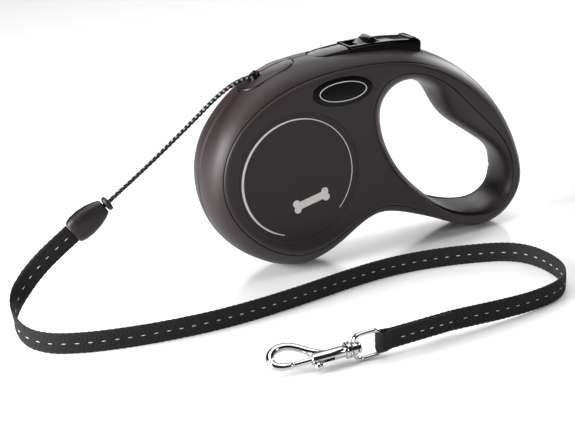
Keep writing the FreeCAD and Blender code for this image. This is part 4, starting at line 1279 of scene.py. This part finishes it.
class LEASH_OT_snap(bpy.types.Operator):
    """Swivel eye, hook body and spring bolt with its thumb knob"""
    bl_idname = "leash.snap"
    bl_label = "Bolt Snap"

    def execute(self, context):
        self.eye()
        self.hook()
        self.bolt()
        return {"FINISHED"}

    def eye(self):
        half, base, corner = 5.3, 11.3, 2.9
        path = []
        for cs, cw, first in ((base - corner, half - corner, 90), (base - corner, corner - half, 0),
                              (corner, corner - half, -90), (corner, half - corner, -180)):
            for j in range(9):
                angle = math.radians(first - 90 * j / 8)
                path.append((cs + corner * math.cos(angle), cw + corner * math.sin(angle)))
        dense = smooth_closed(path, np.linspace(0, len(path), 144, endpoint=False))
        loops = []
        for i, (s, w) in enumerate(dense):
            ahead, behind = dense[(i + 1) % 144], dense[i - 1]
            slope = Vector((ahead[0] - behind[0], ahead[1] - behind[1])).normalized()
            wide = 0.9 + 0.35 * fade(s, 7.5, 10.5)
            ring = []
            for j in range(14):
                angle = TAU * j / 14
                across = 0.9 * math.cos(angle)
                ring.append(eye_place(s - slope.y * across, wide * math.sin(angle), w + slope.x * across))
            loops.append(ring)
        ring = loft("eye_ring_wire", loops, "chrome", closed_loop=True)
        collar = [(10.15, 1.57), (10.2, 2.3), (10.5, 2.65), (12.1, 2.65), (12.35, 2.4), (12.4, 1.57)]
        seat = lathe("eye_seat", collar, EYE_BAR, HOOK_AXIS, "chrome", 48)
        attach(seat, "eye")
        ride(ring, "eye", "swivel_eye")

    def hook(self):
        head = [(8.4, 0.0), (8.45, 1.2), (8.7, 1.9), (9.2, 2.3), (9.75, 2.25), (9.9, 1.5), (12.72, 1.5),
                (12.75, 2.6), (12.95, 3.2), (13.3, 3.4), (13.6, 3.35), (13.75, 2.95), (14.05, 2.85),
                (14.3, 2.95), (14.45, 3.3), (14.8, 3.35), (15.2, 3.1), (15.4, 2.5), (15.8, 2.2), (16.2, 2.25),
                (16.6, 2.35),
                (28.2, 2.3), (28.7, 2.15), (29.0, 1.8), (29.0, 1.2), (15.8, 1.2), (15.8, 0.0)]
        barrel = lathe("snap_barrel", head, EYE_BAR, HOOK_AXIS, "chrome", 64)
        plan = ((20.2, -0.95), (28.35, -0.95), (28.35, 0.95), (20.2, 0.95))
        slot = loft("slot", [[hook_place(s, v, w) for s, v in plan] for w in (-4.0, -0.6)], "chrome")
        carve(barrel, slot)
        sharp_by_angle(barrel, 34.0)
        route = ((22.5, 1.9), (25.5, 2.7), (28.8, 4.5), (32.4, 7.6), (36.0, 9.4), (40.0, 9.5), (43.2, 7.5),
                 (44.4, 4.3), (43.2, 1.6), (40.6, 0.3), (38.2, 0.05), (36.25, 0.0))
        line = nurbs_line("bow_path", [(s, 0.0, w) for s, w in route])
        _, local, _ = spaced(line, 0.3)
        share = np.linspace(0, 1, len(local))
        radii = np.interp(share, (0.0, 0.08, 0.2, 0.4, 0.7, 0.88, 0.97, 1.0),
                          (0.7, 1.15, 1.45, 1.6, 1.65, 1.5, 1.3, 1.0))
        world = np.array([tuple(hook_place(*p)) for p in local])
        bow = tube_along("snap_bow", world, radii, "chrome", 26, tuple(HOOK_UP.cross(HOOK_AXIS)))
        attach(bow, "hook")
        web = []
        for v, shrink in ((-0.62, 0.25), (-0.8, 0.0), (0.8, 0.0), (0.62, 0.25)):
            outline = ((21.0 + shrink, 1.7), (28.6, 1.7), (30.6 - shrink, 5.1 - shrink), (28.6, 4.2 - shrink),
                       (25.0, 2.9 - shrink))
            web.append([hook_place(s, v, w) for s, w in outline])
        plate = sharp_by_angle(loft("snap_web", web, "chrome"), 30.0)
        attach(plate, "hook")
        ride(barrel, "hook", "hook_body")

    def bolt(self):
        rod = [(23.6, 0.0), (23.6, 0.95), (23.75, 1.1), (35.4, 1.1), (35.8, 0.9), (35.9, 0.6), (35.9, 0.0)]
        shaft = lathe("snap_bolt_rod", rod, EYE_BAR, HOOK_AXIS, "chrome", 40)
        down = -HOOK_UP
        base = hook_place(27.3, 0, 0)
        stem = [(0.6, 0.0), (0.6, 0.75), (2.5, 0.72), (2.7, 1.0), (2.85, 1.5), (3.2, 1.75), (3.7, 1.85),
                (4.3, 1.8), (4.8, 1.5), (5.1, 1.0), (5.2, 0.0)]
        knob = lathe("snap_thumb_knob", stem, base, down, "chrome", 40)
        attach(knob, "bolt")
        ride(shaft, "bolt", "bolt_latch")


class LEASH_OT_finishes(bpy.types.Operator):
    """Finishes of the inner parts; the cords' facts are worked out but not kept"""
    bl_idname = "leash.finishes"
    bl_label = "Inner Parts and Cord Facts"

    def execute(self, context):
        finishes = {
            "steel": ("housing_screws", "drum_axle", "button_pin"),
            "spring": ("button_spring", "power_spring", "bolt_spring"),
            "drum": ("cord_drum", "spring_cover", "brake_pawl"),
        }
        for material, names in finishes.items():
            for name in names:
                for slot in NODES[name].material_slots:
                    slot.material = MATERIALS[material]
        plain = moulded("leash_wound_cord", tuple(settings("leash_cord").colour), 0.7, 1500.0, 0.0002)
        for name in ("cord_pack", "feed_cord", "cord_knot"):
            for slot in NODES[name].material_slots:
                slot.material = plain
        tuple(c * MM for c in CORD_ROUTE[1])
        2 * settings("leash_cord").radius
        tuple(c * MM for c in TAPE_ROUTE[0])
        settings("leash_tape").width
        return {"FINISHED"}


class LEASH_OT_stage(bpy.types.Operator):
    """Pale floor, soft light and the camera"""
    bl_idname = "leash.stage"
    bl_label = "Stage"

    def execute(self, context):
        self.camera()
        self.floor()
        self.light("key", (-0.10, 0.10, 1.25), (0, 0.05, 0.0), 1.2, 13.0)
        self.light("left_wall", (-0.85, -0.02, 0.27), (-0.05, 0, 0.05), 0.5, 17.0)
        self.light("right_wall", (1.00, 0.45, 0.42), (0.05, 0, 0.06), 0.45, 8.0)
        self.light("back", (0.45, 1.15, 0.80), (0.05, 0.35, 0.0), 0.9, 8.0)
        self.light("front_strip", (0.55, -1.15, 0.62), (0, 0, 0.03), 0.3, 2.2)
        world = bpy.data.worlds.new("leash_world")
        world.use_nodes = True
        world.node_tree.nodes["Background"].inputs["Color"].default_value = (1.0, 1.0, 1.0, 1.0)
        world.node_tree.nodes["Background"].inputs["Strength"].default_value = 0.04
        context.scene.world = world
        context.scene.view_settings.view_transform = "Standard"
        return {"FINISHED"}

    def camera(self):
        data = bpy.data.cameras.new("leash_camera")
        data.lens, data.sensor_width, data.sensor_fit = 81.4, 36.0, "HORIZONTAL"
        data.clip_start, data.clip_end = 0.01, 20.0
        camera = bpy.data.objects.new("leash_camera", data)
        right, up, back = (0.901, -0.431, -0.039), (0.187, 0.306, 0.933), (-0.390, -0.849, 0.357)
        turn = Matrix((right, up, back)).transposed()
        turn = turn.to_quaternion().normalized().to_matrix()
        camera.matrix_world = Matrix.Translation((-0.2721, -0.5027, 0.2341)) @ turn.to_4x4()
        bpy.context.scene.collection.objects.link(camera)
        bpy.context.scene.camera = camera

    def floor(self):
        finish = Finish("leash_floor", Specular_IOR_Level=0.5)
        cloud = finish.noise(3.0)
        finish.set(Base_Color=finish.blend(cloud, (0.86, 0.86, 0.86), (0.90, 0.90, 0.90)),
                   Roughness=0.16 + cloud * 0.05)
        size = 6.0
        points = [(-size, -size, 0), (size, -size, 0), (size, size, 0), (-size, size, 0)]
        faces = [(0, 1, 2, 3)]
        mesh = bpy.data.meshes.new("floor")
        mesh.from_pydata(points, [], faces)
        mesh.materials.append(finish.material)
        for face in mesh.polygons:
            face.use_smooth = True
        obj = bpy.data.objects.new("floor", mesh)
        bpy.context.scene.collection.objects.link(obj)
        obj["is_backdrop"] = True

    def light(self, name, place, aim, size, watts):
        data = bpy.data.lights.new(name, "AREA")
        data.shape, data.size, data.energy = "SQUARE", size, watts
        lamp = bpy.data.objects.new(name, data)
        lamp.location = place
        lamp.rotation_euler = (Vector(aim) - Vector(place)).to_track_quat("-Z", "Y").to_euler()
        bpy.context.scene.collection.objects.link(lamp)


class LEASH_PT_panel(bpy.types.Panel):
    """Lists the leash's pieces"""
    bl_label = "Retractable Leash"
    bl_idname = "LEASH_PT_panel"
    bl_space_type = "VIEW_3D"
    bl_region_type = "UI"
    bl_category = "Leash"

    def draw(self, context):
        for name in SETTINGS:
            group = getattr(context.scene, name)
            for prop in group.bl_rna.properties:
                if prop.identifier not in ("rna_type", "name"):
                    self.layout.prop(group, prop.identifier)
        for operator in STEPS:
            self.layout.operator(operator.bl_idname)


STEPS = (LEASH_OT_stage, LEASH_OT_cord, LEASH_OT_tape, LEASH_OT_coupling, LEASH_OT_snap, LEASH_OT_housing,
         LEASH_OT_labels, LEASH_OT_guide, LEASH_OT_button, LEASH_OT_finishes)
CLASSES = (*SETTINGS.values(), *STEPS, LEASH_PT_panel)


def register():
    for item in CLASSES:
        bpy.utils.register_class(item)
    for name, group in SETTINGS.items():
        setattr(bpy.types.Scene, name, PointerProperty(type=group))


def unregister():
    for name in SETTINGS:
        delattr(bpy.types.Scene, name)
    for item in reversed(CLASSES):
        bpy.utils.unregister_class(item)


def main():
    register()
    make_materials()
    for step in STEPS:
        group, name = step.bl_idname.split(".")
        if getattr(getattr(bpy.ops, group), name)() != {"FINISHED"}:
            raise RuntimeError(f"{step.bl_label} did not finish")
    boxes = {"cad": CAD_BOX, "visual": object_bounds()}
    sizes = {name: [list(map(float, p)) for p in box] for name, box in boxes.items()}


if __name__ == "__main__":
    main()
